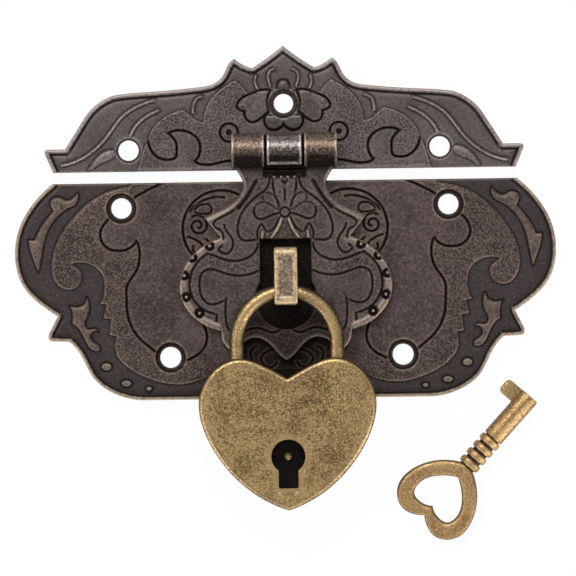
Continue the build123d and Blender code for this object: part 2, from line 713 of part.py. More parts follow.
spring_from_x = spring_stop_x + spring_stop_t / 2 + spring_wire_r + spring_end_gap
spring_to_x = bolt_end_x - spring_wire_r - spring_end_gap
with BuildPart() as bolt_spring:
    with BuildLine() as coil:
        Helix(pitch=(spring_to_x - spring_from_x) / spring_turns, height=spring_to_x - spring_from_x,
              radius=spring_r, center=(spring_from_x, bolt_y, lock_z), direction=(1, 0, 0))
    with BuildSketch(Plane(origin=coil.line @ 0, z_dir=coil.line % 0)):
        RegularPolygon(spring_wire_r, 6)
    sweep()
bolt_spring.part.label = "bolt_spring"
export_step(bolt_spring.part, "parts/bolt_spring.step")


with BuildPart() as shackle_spring:
    with BuildSketch(Plane((0, 0, lock_z - strip_w / 2))):
        add(spring_strip())
    extrude(amount=strip_w)
shackle_spring.part.label = "shackle_spring"
export_step(shackle_spring.part, "parts/shackle_spring.step")


# Key: turned collar and barrel, heart bow, flag bit

key_dir = (sin(radians(-key_turn)), cos(radians(-key_turn)), 0)
key_side = (cos(radians(key_turn)), sin(radians(key_turn)), 0)
key_flat = Plane((*key_origin, collar_r), x_dir=key_side, z_dir=(0, 0, 1))
bow_outer = [
    [(0, 0.6), (4.2, -2.0), (7.0, -6.6), (6.9, -10.6), (3.9, -12.9), (1.3, -12.3), (0, -11.3)],
]
bow_inner = [
    [(0, -2.4), (3.4, -5.2), (4.45, -7.9), (3.9, -9.6), (2.3, -10.0), (0, -9.1)],
]
ring_pitch = collar_top / collar_rings

with BuildPart() as key:
    with BuildSketch(key_flat):
        add(outline(*bow_outer, both_sides=True))
    extrude(amount=bow_t / 2, both=True)
    with BuildSketch(key_flat):
        add(outline(*bow_inner, both_sides=True))
    extrude(amount=bow_t, both=True, mode=Mode.SUBTRACT)
    with BuildSketch(key_flat):
        with BuildLine():
            Polyline((0, 0), (collar_neck_r, 0))
            for i in range(collar_rings):
                low, high = i * ring_pitch, (i + 1) * ring_pitch
                Polyline((collar_neck_r, low), (collar_r, low + ring_pitch / 4),
                         (collar_r, high - ring_pitch / 4), (collar_neck_r, high))
            Polyline((collar_neck_r, collar_top), (key_barrel_r, collar_top), (key_barrel_r, key_length),
                     (key_bore_r, key_length), (key_bore_r, key_length - key_bore_depth),
                     (0, key_length - key_bore_depth), (0, 0))
        make_face()
    revolve(axis=Axis(key_flat.origin, key_flat.y_dir))
    with BuildSketch(key_flat):
        with Locations((-(bit_reach + key_barrel_r - bit_root) / 2, (bit_from + bit_to) / 2)):
            RectangleRounded(bit_reach - key_barrel_r + bit_root, bit_to - bit_from, bit_corner_r)
    extrude(amount=bit_t / 2, both=True)
key.part.label = "key"
export_step(key.part, "parts/key.step")
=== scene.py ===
import math
import bpy
import numpy as np
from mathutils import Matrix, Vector
from mathutils.geometry import delaunay_2d_cdt


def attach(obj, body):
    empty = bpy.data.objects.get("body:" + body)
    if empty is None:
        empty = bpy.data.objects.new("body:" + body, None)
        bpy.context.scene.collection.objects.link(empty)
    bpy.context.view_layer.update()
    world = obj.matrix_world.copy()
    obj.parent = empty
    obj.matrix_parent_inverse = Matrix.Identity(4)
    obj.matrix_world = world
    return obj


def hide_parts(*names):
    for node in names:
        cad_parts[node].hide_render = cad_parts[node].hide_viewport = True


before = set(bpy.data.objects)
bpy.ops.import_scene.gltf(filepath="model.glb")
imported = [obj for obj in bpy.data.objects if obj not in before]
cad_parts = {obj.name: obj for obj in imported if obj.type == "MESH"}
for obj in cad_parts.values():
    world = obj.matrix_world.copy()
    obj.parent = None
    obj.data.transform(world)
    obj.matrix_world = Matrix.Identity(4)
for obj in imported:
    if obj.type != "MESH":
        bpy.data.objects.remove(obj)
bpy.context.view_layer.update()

# Antique bronze hasp latch for a box, with its heart padlock and key.
# Sizes are millimetres, and meshes are made in metres.
mm = 0.001


# Curves

def endSlope(along, points):
    return np.polyfit(along - along[0], points, len(along) - 1)[-2]


def smoothLine(points, step=0.25):
    # straight between two points, smooth through more
    points = np.array(points, float)
    gaps = np.linalg.norm(np.diff(points, axis=0), axis=1)
    if len(points) == 2:
        share = np.linspace(0, 1, max(2, round(gaps[0] / step) + 1))[:, None]
        return points[0] + share * (points[1] - points[0])
    along = np.r_[0, np.cumsum(gaps)]
    count = len(points)
    matrix = np.eye(count)
    slopes = np.zeros((count, 2))
    slopes[0] = endSlope(along[:4], points[:4])
    slopes[-1] = endSlope(along[::-1][:4], points[::-1][:4])
    for i in range(1, count - 1):
        before, after = gaps[i - 1], gaps[i]
        matrix[i, i - 1:i + 2] = after, 2 * (before + after), before
        back, ahead = points[i] - points[i - 1], points[i + 1] - points[i]
        slopes[i] = 3 * (after * back / before + before * ahead / after)
    slopes = np.linalg.solve(matrix, slopes)
    line = []
    for i in range(count - 1):
        share = np.linspace(0, 1, max(1, round(gaps[i] / step)) + 1)[:-1, None]
        square, cube = share ** 2, share ** 3
        line.append((2 * cube - 3 * square + 1) * points[i] + (3 * square - 2 * cube) * points[i + 1]
                    + gaps[i] * ((cube - 2 * square + share) * slopes[i] + (cube - square) * slopes[i + 1]))
    return np.vstack(line + [points[-1:]])


def trail(stretches, step=0.25):
    lines = [smoothLine(stretch, step) for stretch in stretches]
    return np.vstack([line[:-1] for line in lines] + [lines[-1][-1:]])


def asLine(given):
    # drawn points, or stretches of them, as one line
    if isinstance(given, np.ndarray):
        return given
    return trail(given) if isinstance(given[0], list) else smoothLine(given)


def bothSides(half):
    # a closed loop, counter-clockwise, from its right half that starts and ends on the middle line
    loop = np.vstack([half, (half * (-1, 1))[-2:0:-1]])
    return loop if area(loop) > 0 else loop[::-1]


def area(loop):
    ahead = np.roll(loop, -1, 0)
    return np.sum(loop[:, 0] * ahead[:, 1] - ahead[:, 0] * loop[:, 1]) / 2


def around(angles):
    return np.c_[np.cos(angles), np.sin(angles)]


def circleLine(centre, radius, start=0, turn=360, step=0.22):
    count = max(12, round(radius * math.radians(abs(turn)) / step))
    return np.array(centre) + radius * around(np.radians(start + np.linspace(0, turn, count + 1)))


def spiralLine(centre, outer, inner, start, turn, step=0.2):
    count = max(12, round(outer * math.radians(abs(turn)) / step))
    share = np.linspace(0, 1, count + 1)
    reach = (outer + share * (inner - outer))[:, None]
    return np.array(centre) + reach * around(np.radians(start + share * turn))


def closed(loop):
    return np.vstack([loop, loop[:1]])


def leftOf(heading):
    # unit vectors to the left of each heading
    heading = heading / (np.linalg.norm(heading, axis=1)[:, None] + 1e-9)
    return np.c_[-heading[:, 1], heading[:, 0]]


def drawnIn(loop, amount):
    # the loop moved inwards
    return loop + amount * leftOf(np.roll(loop, -1, 0) - np.roll(loop, 1, 0))


# Distances from points to lines

def distance(points, line, reach=2.5):
    found = np.full(len(points), reach)
    near = np.flatnonzero(((points > line.min(0) - reach) & (points < line.max(0) + reach)).all(1))
    start, run = line[:-1], np.diff(line, axis=0)
    lengths = (run ** 2).sum(1) + 1e-12
    for i in range(0, len(near), 3000):
        some = near[i:i + 3000]
        offset = points[some, None] - start
        share = np.clip((offset * run).sum(2) / lengths, 0, 1)
        found[some] = np.minimum(reach, np.sqrt(((offset - share[..., None] * run) ** 2).sum(2).min(1)))
    return found


def inside(points, loop):
    found = np.zeros(len(points), bool)
    near = np.flatnonzero(((points > loop.min(0)) & (points < loop.max(0))).all(1))
    x1, y1 = loop.T
    x2, y2 = np.roll(loop, -1, 0).T
    for i in range(0, len(near), 5000):
        some = near[i:i + 5000]
        x, y = points[some, 0, None], points[some, 1, None]
        crossed = ((y1 > y) != (y2 > y)) & (x < (x2 - x1) * (y - y1) / (y2 - y1 + 1e-12) + x1)
        found[some] = crossed.sum(1) % 2 == 1
    return found


def depthIn(points, line):
    far = distance(points, line)
    return np.where(inside(points, line), far, -far)


def ease(share):
    share = np.clip(share, 0, 1)
    return share * share * (3 - 2 * share)


def bell(share):
    return np.exp(-share * share)


def roundOff(away, radius, drop):
    # how far a rounded edge has fallen at each distance from it
    return drop * (1 - np.sqrt(1 - np.clip(1 - away / radius, 0, 1) ** 2))


def onRight(points):
    return np.c_[np.abs(points[:, 0]), points[:, 1]]


# Relief: raised shapes, cut grooves and ridges, all on the folded right half.
# wear is how rubbed an edge is, ink how black the line beside it, rows where the mesh gets points.

def raised(line, height, wear=0.7, slope=0.26, dome=0.0, polish=0.0, ink=1.0):
    return {"kind": "raised", "line": asLine(line), "height": height, "wear": wear, "slope": slope,
            "dome": dome, "polish": polish, "ink": ink, "rows": (-0.34, -0.08, 0.06, 0.17, 0.36)}


def groove(line, width=0.45, depth=0.3, wear=0.25, ink=1.0):
    half = width / 2
    return {"kind": "groove", "line": asLine(line), "width": width, "depth": depth, "wear": wear,
            "ink": ink,
            "rows": (-half - 0.2, -half, -half * 0.5, 0, half * 0.5, half, half + 0.2)}


def ridge(line, width=0.62, height=0.5, wear=0.9):
    half = width / 2
    beside = (half + 0.34, half + 0.14, half, half * 0.5)
    return {"kind": "ridge", "line": asLine(line), "width": width, "height": height, "wear": wear,
            "rows": [-away for away in beside] + [0] + list(beside[::-1])}


def shade(line, depth, blur=0.4):
    return {"kind": "shade", "line": np.array(line, float), "depth": depth, "blur": blur}


def stippled(*lines):
    return {"kind": "grain", "line": np.vstack(lines)}


def carve(points, items):
    # rise above the field, and how dark, how rubbed and how stippled each point is
    rise, dark, rubbed, grain = (np.zeros(len(points)) for _ in range(4))
    for item in items:
        if item["kind"] == "raised":
            s = depthIn(points, item["line"])
            top = item["height"] * (1 + item["dome"] * ease(s / 1.2))
            rise = np.maximum(rise, top * ease((s + 0.06) / item["slope"]))
            inked = np.where(s < 0, 1 - ease((-s - 0.14) / 0.3), bell(s / 0.08))
            dark = np.maximum(dark * (s < 0.1), item["ink"] * inked)
            rubbed = np.maximum(rubbed, item["wear"] * bell((s - 0.17) / 0.11))
            rubbed = np.maximum(rubbed, item["polish"] * ease((s - 0.1) / 0.2))
        if item["kind"] == "grain":
            grain = np.maximum(grain, ease((depthIn(points, item["line"]) - 0.15) / 0.15))
    for item in items:
        if item["kind"] in ("groove", "ridge"):
            d = distance(points, item["line"])
            half = item["width"] / 2
            curve = np.clip(1 - (d / half) ** 2, 0, 1)
        if item["kind"] == "groove":
            rise = rise - item["depth"] * curve ** 0.8
            dark = np.maximum(dark, item["ink"] * (1 - ease((d - half * 0.65) / 0.15)))
            rubbed = np.maximum(rubbed * (1 - bell(d / half)), item["wear"] * bell((d - half - 0.12) / 0.1))
            grain = grain * (d > half + 0.05)
        if item["kind"] == "ridge":
            rise = np.maximum(rise, item["height"] * curve ** 0.6)
            dark = np.maximum(dark * (d > half), 0.75 * bell((d - half - 0.14) / 0.13))
            crest = item["wear"] * (1 - ease((d - half * 0.55) / (half * 0.45)))
            rubbed = np.maximum(rubbed * (d > half), crest)
        if item["kind"] == "shade":
            into = (depthIn(points, item["line"]) + item["blur"]) / (2 * item["blur"])
            dark = np.maximum(dark, item["depth"] * ease(into))
    return rise, dark, rubbed, grain


def rowsBeside(items):
    # points in rows along every line, so that its slopes come out clean
    return np.vstack([item["line"] + away * leftOf(np.gradient(item["line"], axis=0))
                      for item in items if "rows" in item for away in item["rows"]])


def thinned(points, gap, taken=None):
    cells = np.round(points / gap).astype(int)
    first = np.unique(cells, axis=0, return_index=True)[1]
    if taken is not None:
        used = {tuple(cell) for cell in np.round(taken / gap).astype(int)}
        first = [i for i in first if tuple(cells[i]) not in used]
    return points[np.sort(first)]


def meshPoints(outlineLoop, holes, rows, fillGap, edgeRows=(0.1, 0.22, 0.4)):
    # rows along lines and edges, an even fill between them, nothing too near an edge
    closeGap, margin = 0.11, 0.055
    low, high = outlineLoop.min(0), outlineLoop.max(0)
    across = np.arange(fillGap / 2, high[0], fillGap)
    up = np.arange(low[1], high[1], fillGap * 0.87)
    grid = np.array([(x + (j % 2) * fillGap / 2, y) for j, y in enumerate(up) for x in across])
    loops = [outlineLoop] + holes
    edges = [drawnIn(loop, away) for loop in loops for away in edgeRows]
    close = thinned(np.vstack(edges + [rows, rows * (-1, 1)]), closeGap)
    far = thinned(np.vstack([grid, grid * (-1, 1)]), fillGap * 0.5, close)
    chosen = np.vstack([close, far])
    keep = inside(chosen, outlineLoop)
    for hole in holes:
        keep &= ~inside(chosen, hole)
    for loop in loops:
        keep &= distance(chosen, closed(loop), 0.5) > margin
    return chosen[keep]


def triangulate(loops, extra):
    coords = np.vstack(loops + ([extra] if len(extra) else []))
    edges, start = [], 0
    for loop in loops:
        count = len(loop)
        edges += [(start + i, start + (i + 1) % count) for i in range(count)]
        start += count
    made = delaunay_2d_cdt([Vector(c) for c in coords.tolist()], edges, [], 0, 1e-6)
    flat = np.array([tuple(v) for v in made[0]])
    faces = np.array(made[2])
    middle = flat[faces].mean(1)
    keep = inside(middle, loops[0])
    for hole in loops[1:]:
        keep &= ~inside(middle, hole)
    place = {}
    for i, sources in enumerate(made[3]):
        for source in sources:
            place[source] = i
    return flat, faces[keep], [place[i] for i in range(start)]


def solidPlate(outlineLoop, holes, extra, topOf, back):
    # a closed plate: carved top, straight walls, flat back; returns vertices, faces and the top's marks
    loops = [outlineLoop] + [hole[::-1] for hole in holes]
    top, topFaces, topPlace = triangulate(loops, extra)
    base, baseFaces, basePlace = triangulate(loops, np.zeros((0, 2)))
    height, marks = topOf(top)
    verts = np.vstack([np.c_[top, height], np.c_[base, np.full(len(base), back)]])
    faces = topFaces.tolist() + [[c + len(top), b + len(top), a + len(top)] for a, b,
                                 c in baseFaces.tolist()]
    start = 0
    for loop in loops:
        count = len(loop)
        for i in range(count):
            j = (i + 1) % count
            a, b = start + i, start + j
            faces.append([basePlace[a] + len(top), basePlace[b] + len(top), topPlace[b], topPlace[a]])
        start += count
    marks = {name: np.r_[values, np.zeros(len(base))] for name, values in marks.items()}
    return verts, faces, marks


# Meshes; a part is its vertices, faces and marks

def newPiece(name, part, material, sharp=50, up=0.0):
    verts, faces, marks = part
    mesh = bpy.data.meshes.new(name)
    mesh.from_pydata(((np.asarray(verts, float) + (0, up, 0)) * mm).tolist(), [], faces)
    mesh.validate()
    for mark, values in marks.items():
        mesh.attributes.new(mark, "FLOAT", "POINT").data.foreach_set("value",
                                                                     np.asarray(values, np.float32))
    mesh.materials.append(material)
    mesh.shade_smooth()
    mesh.set_sharp_from_angle(angle=math.radians(sharp))
    return linked(bpy.data.objects.new(name, mesh))


def linked(piece):
    bpy.context.scene.collection.objects.link(piece)
    return piece


def join(parts):
    # several parts as one
    verts, faces, marks, start = [], [], {}, 0
    names = {name for part in parts for name in part[2]}
    for v, f, m in parts:
        verts.append(np.asarray(v, float))
        faces += [[i + start for i in face] for face in f]
        for name in names:
            marks.setdefault(name, []).append(np.asarray(m.get(name, np.zeros(len(v)))))
        start += len(v)
    return np.vstack(verts), faces, {name: np.concatenate(values) for name, values in marks.items()}


def evenly(verts, **marks):
    # the same marks on every vertex
    return {name: np.full(len(verts), value) for name, value in marks.items()}


def atHeight(loop, z):
    return np.c_[loop, np.full(len(loop), z)]


def sweepRings(rings, closedEnds=True, loop=False):
    # skin over rings of points, all the same count, each counter-clockwise as seen from its end
    rings = np.asarray(rings, float)
    count, sides = rings.shape[:2]
    verts = rings.reshape(-1, 3)
    faces = []
    for i in range(count if loop else count - 1):
        k = (i + 1) % count
        for j in range(sides):
            n = (j + 1) % sides
            faces.append([i * sides + j, i * sides + n, k * sides + n, k * sides + j])
    if closedEnds and not loop:
        faces.append(list(range(sides))[::-1])
        faces.append([(count - 1) * sides + j for j in range(sides)])
    return verts, faces


def finish(piece, body, slotName, *nodes):
    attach(piece, body)
    if nodes:
        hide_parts(*nodes)
    return piece


# Materials; colours as 8-bit red, green and blue

def linear(red, green, blue):
    shares = (red / 255, green / 255, blue / 255)
    return tuple(c / 12.92 if c <= 0.04045 else ((c + 0.055) / 1.055) ** 2.4 for c in shares) + (1,)


class shaderMaker:
    def __init__(self, name, finishOf):
        self.finish = {key: linear(*value) if isinstance(value, tuple) else value
                       for key, value in finishOf.items()}
        self.material = bpy.data.materials.new(name)
        self.material.use_nodes = True
        self.nodes = self.material.node_tree.nodes
        self.links = self.material.node_tree.links
        self.shader = self.nodes["Principled BSDF"]
        self.coords = self.nodes.new("ShaderNodeTexCoord").outputs["Object"]

    def put(self, socket, value):
        if isinstance(value, bpy.types.NodeSocket):
            self.links.new(value, socket)
        else:
            socket.default_value = value

    def fill(self, node, values):
        for name, value in values.items():
            self.put(node.inputs[name], value)

    def mark(self, name):
        node = self.nodes.new("ShaderNodeAttribute")
        node.attribute_name = name
        return node.outputs["Fac"]

    def noise(self, size, detail=3.0, rough=0.55, distort=0.0):
        # size is the width of a spot in millimetres
        node = self.nodes.new("ShaderNodeTexNoise")
        self.fill(node, {"Vector": self.coords, "Scale": 1 / (size * mm), "Detail": detail,
                         "Roughness": rough, "Distortion": distort})
        return node.outputs["Fac"]

    def span(self, value, low, high, outLow=0.0, outHigh=1.0):
        node = self.nodes.new("ShaderNodeMapRange")
        node.interpolation_type = "SMOOTHSTEP"
        for socket, given in zip(node.inputs, (value, low, high, outLow, outHigh)):
            self.put(socket, given)
        return node.outputs["Result"]

    def maths(self, kind, first, second):
        node = self.nodes.new("ShaderNodeMath")
        node.operation, node.use_clamp = kind, True
        self.put(node.inputs[0], first)
        self.put(node.inputs[1], second)
        return node.outputs[0]

    def times(self, first, second):
        return self.maths("MULTIPLY", first, second)

    def plus(self, first, second):
        return self.maths("ADD", first, second)

    def tint(self, share, colour, name):
        # the colour with a share of one of the finish's colours over it
        node = self.nodes.new("ShaderNodeMix")
        node.data_type = "RGBA"
        self.fill(node, {"Factor": share, "A": colour, "B": self.finish[name]})
        return node.outputs["Result"]

    def bump(self, height, strength, far):
        node = self.nodes.new("ShaderNodeBump")
        self.fill(node, {"Strength": strength, "Distance": far * mm, "Height": height})
        return node.outputs["Normal"]


bronzeFinish = {
    "plate": (89, 75, 73), "patch": (66, 56, 55), "recess": (27, 22, 20), "field": (60, 54, 54),
    "rubbed": (174, 154, 130), "speckle": (128, 108, 94),
    "metallic": 0.82, "roughness": 0.46, "patchSize": 5.5, "fineSize": 0.46, "grainSize": 0.32,
    "mottle": 0.5,
}
brassFinish = {
    "plate": (175, 144, 97), "patch": (112, 86, 54), "recess": (46, 39, 35), "rubbed": (220, 190, 136),
    "speckle": (74, 54, 32), "light": (226, 196, 142), "metallic": 0.9, "roughness": 0.38,
    "cloudSize": 9, "spotSize": 0.7, "fineSize": 0.3,
}


def bronzeMaterial(name, **changed):
    # patches, fine mottling, stipple grain, then black recesses with painted shade, and rubbed edges with
    # painted highlights
    m = shaderMaker(name, dict(bronzeFinish, **changed))
    finishOf, mottle, rough = m.finish, m.finish["mottle"], m.finish["roughness"]
    patches = m.span(m.noise(finishOf["patchSize"], 4, 0.6), 0.35, 0.68)
    fine, tiny = m.noise(finishOf["fineSize"], 2, 0.7), m.noise(finishOf["grainSize"], 1, 0.5)
    grain, dark = m.mark("grain"), m.mark("dark")
    colour = m.tint(patches, finishOf["plate"], "patch")
    worn = m.span(fine, 0.32, 0.58, mottle * -0.5 + 0.75, 1.0)
    for share, over in ((m.span(fine, 0.52, 0.7, 0, mottle), "speckle"),
                        (m.span(fine, 0.48, 0.3, 0, mottle), "recess"),
                        (m.times(grain, m.span(tiny, 0.5, 0.62, 0, 0.42)), "speckle"),
                        (m.times(grain, m.span(tiny, 0.5, 0.4, 0, 0.55)), "recess"),
                        (m.times(m.mark("field"), m.span(fine, 0.3, 0.7, 1.0, 0.7)), "field"),
                        (m.times(dark, m.span(fine, 0.35, 0.65, 1.15, 0.9)), "recess"),
                        (m.times(m.mark("rubbed"), worn), "rubbed")):
        colour = m.tint(share, colour, over)
    height = m.plus(m.times(fine, 0.5), m.times(tiny, 0.5))
    roughness = m.plus(m.span(fine, 0.3, 0.7, rough - 0.06, rough + 0.1), m.times(dark, 0.3))
    m.fill(m.shader, {"Base Color": colour, "Metallic": finishOf["metallic"], "Roughness": roughness,
                      "Specular IOR Level": m.span(dark, 0, 1, 0.5, 0.1),
                      "Normal": m.bump(height, 0.5, 0.06)})
    return m.material


def brassMaterial(name, **changed):
    # clouds, spots and a fine speckle of dark and light, then dark sides and hollows as painted shade, and
    # rubbed edges with painted highlights
    m = shaderMaker(name, dict(brassFinish, **changed))
    finishOf, rough = m.finish, m.finish["roughness"]
    cloud = m.noise(finishOf["cloudSize"], 4, 0.6, 0.8)
    spot, tiny = m.noise(finishOf["spotSize"], 4, 0.75), m.noise(finishOf["fineSize"], 3, 0.75)
    colour = finishOf["plate"]
    for share, over in ((m.span(cloud, 0.43, 0.62, 0, 0.9), "patch"),
                        (m.span(spot, 0.47, 0.6, 0, 0.5), "patch"),
                        (m.span(spot, 0.46, 0.34, 0, 0.3), "light"),
                        (m.span(tiny, 0.5, 0.63, 0, 0.85), "speckle"),
                        (m.span(tiny, 0.49, 0.36, 0, 0.75), "light"),
                        (m.mark("dark"), "recess"),
                        (m.times(m.mark("rubbed"), m.span(spot, 0.3, 0.6, 0.75, 1.0)), "rubbed")):
        colour = m.tint(share, colour, over)
    m.fill(m.shader, {"Base Color": colour, "Metallic": finishOf["metallic"],
                      "Roughness": m.span(tiny, 0.35, 0.7, rough - 0.04, rough + 0.1),
                      "Normal": m.bump(m.plus(spot, tiny), 0.07, 0.04)})
    return m.material


def steelMaterial(name):
    m = shaderMaker(name, {"plate": (120, 116, 110), "patch": (168, 166, 162)})
    spots = m.noise(0.8, 3)
    m.fill(m.shader, {"Base Color": m.tint(spots, m.finish["plate"], "patch"), "Metallic": 1.0,
                      "Roughness": m.span(spots, 0.3, 0.7, 0.3, 0.5)})
    return m.material


bronze = bronzeMaterial("antiqueBronze")
lidBronze = bronzeMaterial("lidBronze", plate=(103, 92, 89), patch=(80, 71, 69), rubbed=(162, 150, 142),
                           speckle=(134, 120, 112), field=(92, 84, 82))
leafBronze = bronzeMaterial("leafBronze", plate=(92, 80, 79), patch=(68, 59, 58), rubbed=(172, 152, 134),
                            speckle=(132, 116, 106))
stapleBronze = bronzeMaterial("wornBronze", plate=(146, 124, 108), patch=(112, 94, 80), recess=(62, 50, 42),
                              rubbed=(220, 192, 148), speckle=(204, 182, 152), patchSize=1.7, mottle=0.9)
knuckleBronze = bronzeMaterial("knuckleBronze", plate=(94, 79, 71), patch=(74, 60, 53), mottle=0.85,
                               rubbed=(182, 162, 144), speckle=(158, 136, 114), roughness=0.38)
silverBronze = bronzeMaterial("rubbedKnuckle", plate=(104, 94, 90), patch=(84, 70, 62), mottle=0.85,
                              rubbed=(206, 200, 196), speckle=(152, 140, 132), roughness=0.32)
brass = brassMaterial("antiqueBrass")
keyBrass = brassMaterial("keyBrass", plate=(180, 146, 100), patch=(150, 118, 78), speckle=(118, 90, 58),
                         rubbed=(212, 180, 128), light=(214, 182, 130), roughness=0.44)
steel = steelMaterial("plainSteel")
print("materials ready")


# Studio: camera over the plates as in the photograph, pale floor, soft light

view = {"middle": (0.35, -2.12), "width": 101.9, "far": 1600, "turn": 0.8}
camera = linked(bpy.data.objects.new("camera", bpy.data.cameras.new("camera")))
camera.data.angle = 2 * math.atan(view["width"] / 2 / view["far"])
camera.location = Vector((*view["middle"], view["far"])) * mm
camera.rotation_euler = (0, 0, math.radians(-view["turn"]))
camera.data.clip_end = 10
bpy.context.scene.camera = camera

floorMesh = bpy.data.meshes.new("floor")
floorMesh.from_pydata([(x, y, -0.0002) for x, y in ((-2, -2), (2, -2), (2, 2), (-2, 2))], [],
                      [(0, 1, 2, 3)])
floor = linked(bpy.data.objects.new("floor", floorMesh))
# the floor glows for the camera alone, a little short of full, so that the shadow stays
paper = shaderMaker("paper", {})
paper.fill(paper.shader, {"Base Color": (0.85, 0.85, 0.85, 1), "Roughness": 0.9})
glow, seen, mixed = (paper.nodes.new("ShaderNode" + kind)
                     for kind in ("Emission", "LightPath", "MixShader"))
sources = (paper.times(seen.outputs["Is Camera Ray"], 0.955), paper.shader.outputs[0], glow.outputs[0])
for source, socket in zip(sources, mixed.inputs):
    paper.links.new(source, socket)
paper.links.new(mixed.outputs[0], paper.nodes["Material Output"].inputs["Surface"])
floorMesh.materials.append(paper.material)

world = bpy.data.worlds.new("studio")
world.use_nodes = True
for name, value in (("Color", (0.62, 0.63, 0.66, 1)), ("Strength", 0.75)):
    world.node_tree.nodes["Background"].inputs[name].default_value = value
bpy.context.scene.world = world

# name, place in metres, size, watts
softBoxes = [
    ("keyBox", (-0.15, 0.55, 0.75), (0.7, 0.5), 5.5),
    ("sideBox", (-0.7, -0.1, 0.5), (0.4, 0.6), 1.1),
    ("fillBox", (0.6, -0.45, 0.7), (0.5, 0.5), 1.7),
    ("lowLeft", (-0.72, -0.56, 0.17), (0.5, 0.08), 2.6),
    ("lowMiddle", (0.05, -0.92, 0.17), (0.5, 0.08), 2.6),
    ("lowRight", (0.78, -0.5, 0.17), (0.5, 0.08), 2.6),
]
for name, place, size, power in softBoxes:
    lamp = linked(bpy.data.objects.new(name, bpy.data.lights.new(name, "AREA")))
    lamp.data.shape = "RECTANGLE"
    lamp.data.size, lamp.data.size_y = size
    lamp.data.energy = power
    lamp.location = place
    lamp.rotation_euler = Vector(place).to_track_quat("Z", "Y").to_euler()
bpy.context.scene.view_settings.view_transform = "Standard"


# Plates with a raised rim, carved items and holes in sunk seats

def rimmedTop(sizes, outlineLoop, rimLine, items):
    def topOf(points):
        folded = onRight(points)
        rise, dark, rubbed, grain = carve(folded, items)
        field = sizes["fieldShade"] * (1 - ease(rise / 0.25))
        rim = distance(folded, rimLine)
        edge = distance(points, closed(outlineLoop))
        width = sizes["rimWidth"]
        crest = sizes["rim"] * (1 - ease((rim - width + 0.08) / 0.24))
        rise = np.maximum(rise * ease((rim - width - 0.1) / 0.25), crest)
        rise -= sizes["moat"] * bell((rim - width - 0.32) / 0.2)
        dark = np.maximum(dark * (rim > width), (1 - ease((rim - width - 0.14) / 0.3)) * (rim > width))
        polished = (0.5 + 0.5 * bell((rim - 0.22) / 0.2)) * (1 - ease((rim - width + 0.1) / 0.16))
        rubbed = np.maximum(rubbed * (rim > width), polished)
        rubbed = np.maximum(rubbed, 0.75 * bell(edge / 0.16))
        rise -= roundOff(edge, sizes["round"], sizes["round"])
        for (x, y), radius, seat, depth in sizes["holes"]:
            away = np.hypot(folded[:, 0] - x, folded[:, 1] - y)
            sunk = 1 - ease((away - seat + 0.12) / 0.24)
            rise = rise * (1 - sunk) - depth * sunk
            rise -= 0.12 * (1 - ease((away - radius) / 0.2))
            dark = np.maximum(dark * (1 - sunk), 0.8 * bell((away - seat + 0.15) / 0.28))
            dark = np.maximum(dark, 0.55 * sunk)
            rubbed = np.maximum(rubbed * (1 - sunk), 0.6 * bell((away - seat - 0.2) / 0.12))
            rubbed = np.maximum(rubbed, 0.25 * bell((away - radius - 0.06) / 0.08))
            grain = grain * (away > seat + 0.3)
        field *= 1 - ease((width + 0.1 - rim) / 0.1)
        return sizes["sheet"] + rise, {"dark": dark, "rubbed": rubbed, "grain": grain, "field": field}
    return topOf


def reliefPlate(name, sizes, edgeLine, items, material):
    loop = bothSides(np.minimum(trail(edgeLine), (sizes["widest"], np.inf)))
    rimLine = trail(edgeLine[1:])
    holes, rings = [], []
    for (x, y), radius, seat, _ in sizes["holes"]:
        holes += [circleLine((side * x, y), radius)[:-1] for side in ((1, -1) if x else (1,))]
        rings += [circleLine((x, y), radius + sizes["holeRow"])]
        rings += [circleLine((x, y), seat + away) for away in sizes["seatRows"]]
    beside = (0.5, 0.62, 0.78, 1.0, 1.25)
    rimRows = rowsBeside([{"line": rimLine, "rows": [-away for away in beside] + list(beside)}])
    points = meshPoints(loop, holes, np.vstack([rowsBeside(items), *rings, rimRows]), sizes["gap"])
    part = solidPlate(loop, holes, points, rimmedTop(sizes, loop, rimLine, items), 0)
    print(name, len(part[1]), "faces")
    return newPiece(name, part, material, up=sizes["edgeY"])


# Lower plate; a hole is its place, its radius, and its seat's radius and depth

lowerPlate = {
    "sheet": 1.5, "relief": 0.5, "rim": 0.6, "rimWidth": 0.62, "moat": 0.14, "round": 0.3,
    "holes": [((28.9, 12.35), 1.8, 2.6, 0.25), ((20.55, -14.1), 1.85, 2.6, 0.25)],
    "holeRow": 0.25, "seatRows": (-0.14, 0, 0.14), "medallion": ((11.3, 8.5), 6.8),
    "fieldShade": 0.9, "widest": 47.79, "gap": 0.5, "edgeY": 0.0,
}
lowerEdge = [
    [(0, 16.8), (41, 16.8)],
    [(41, 16.8), (43.6, 14.4), (47, 9), (47.8, 4), (46.3, -1.4), (42.7, -5), (40.4, -6.6)],
    [(40.4, -6.6), (42, -9.7)],
    [(42, -9.7), (41.9, -10.7), (41, -11)],
    [(41, -11), (38.4, -11.1)],
    [(38.4, -11.1), (36.4, -13.5), (34.1, -17.7), (30, -20.6), (25, -21.6)],
    [(25, -21.6), (0, -21.6)],
]
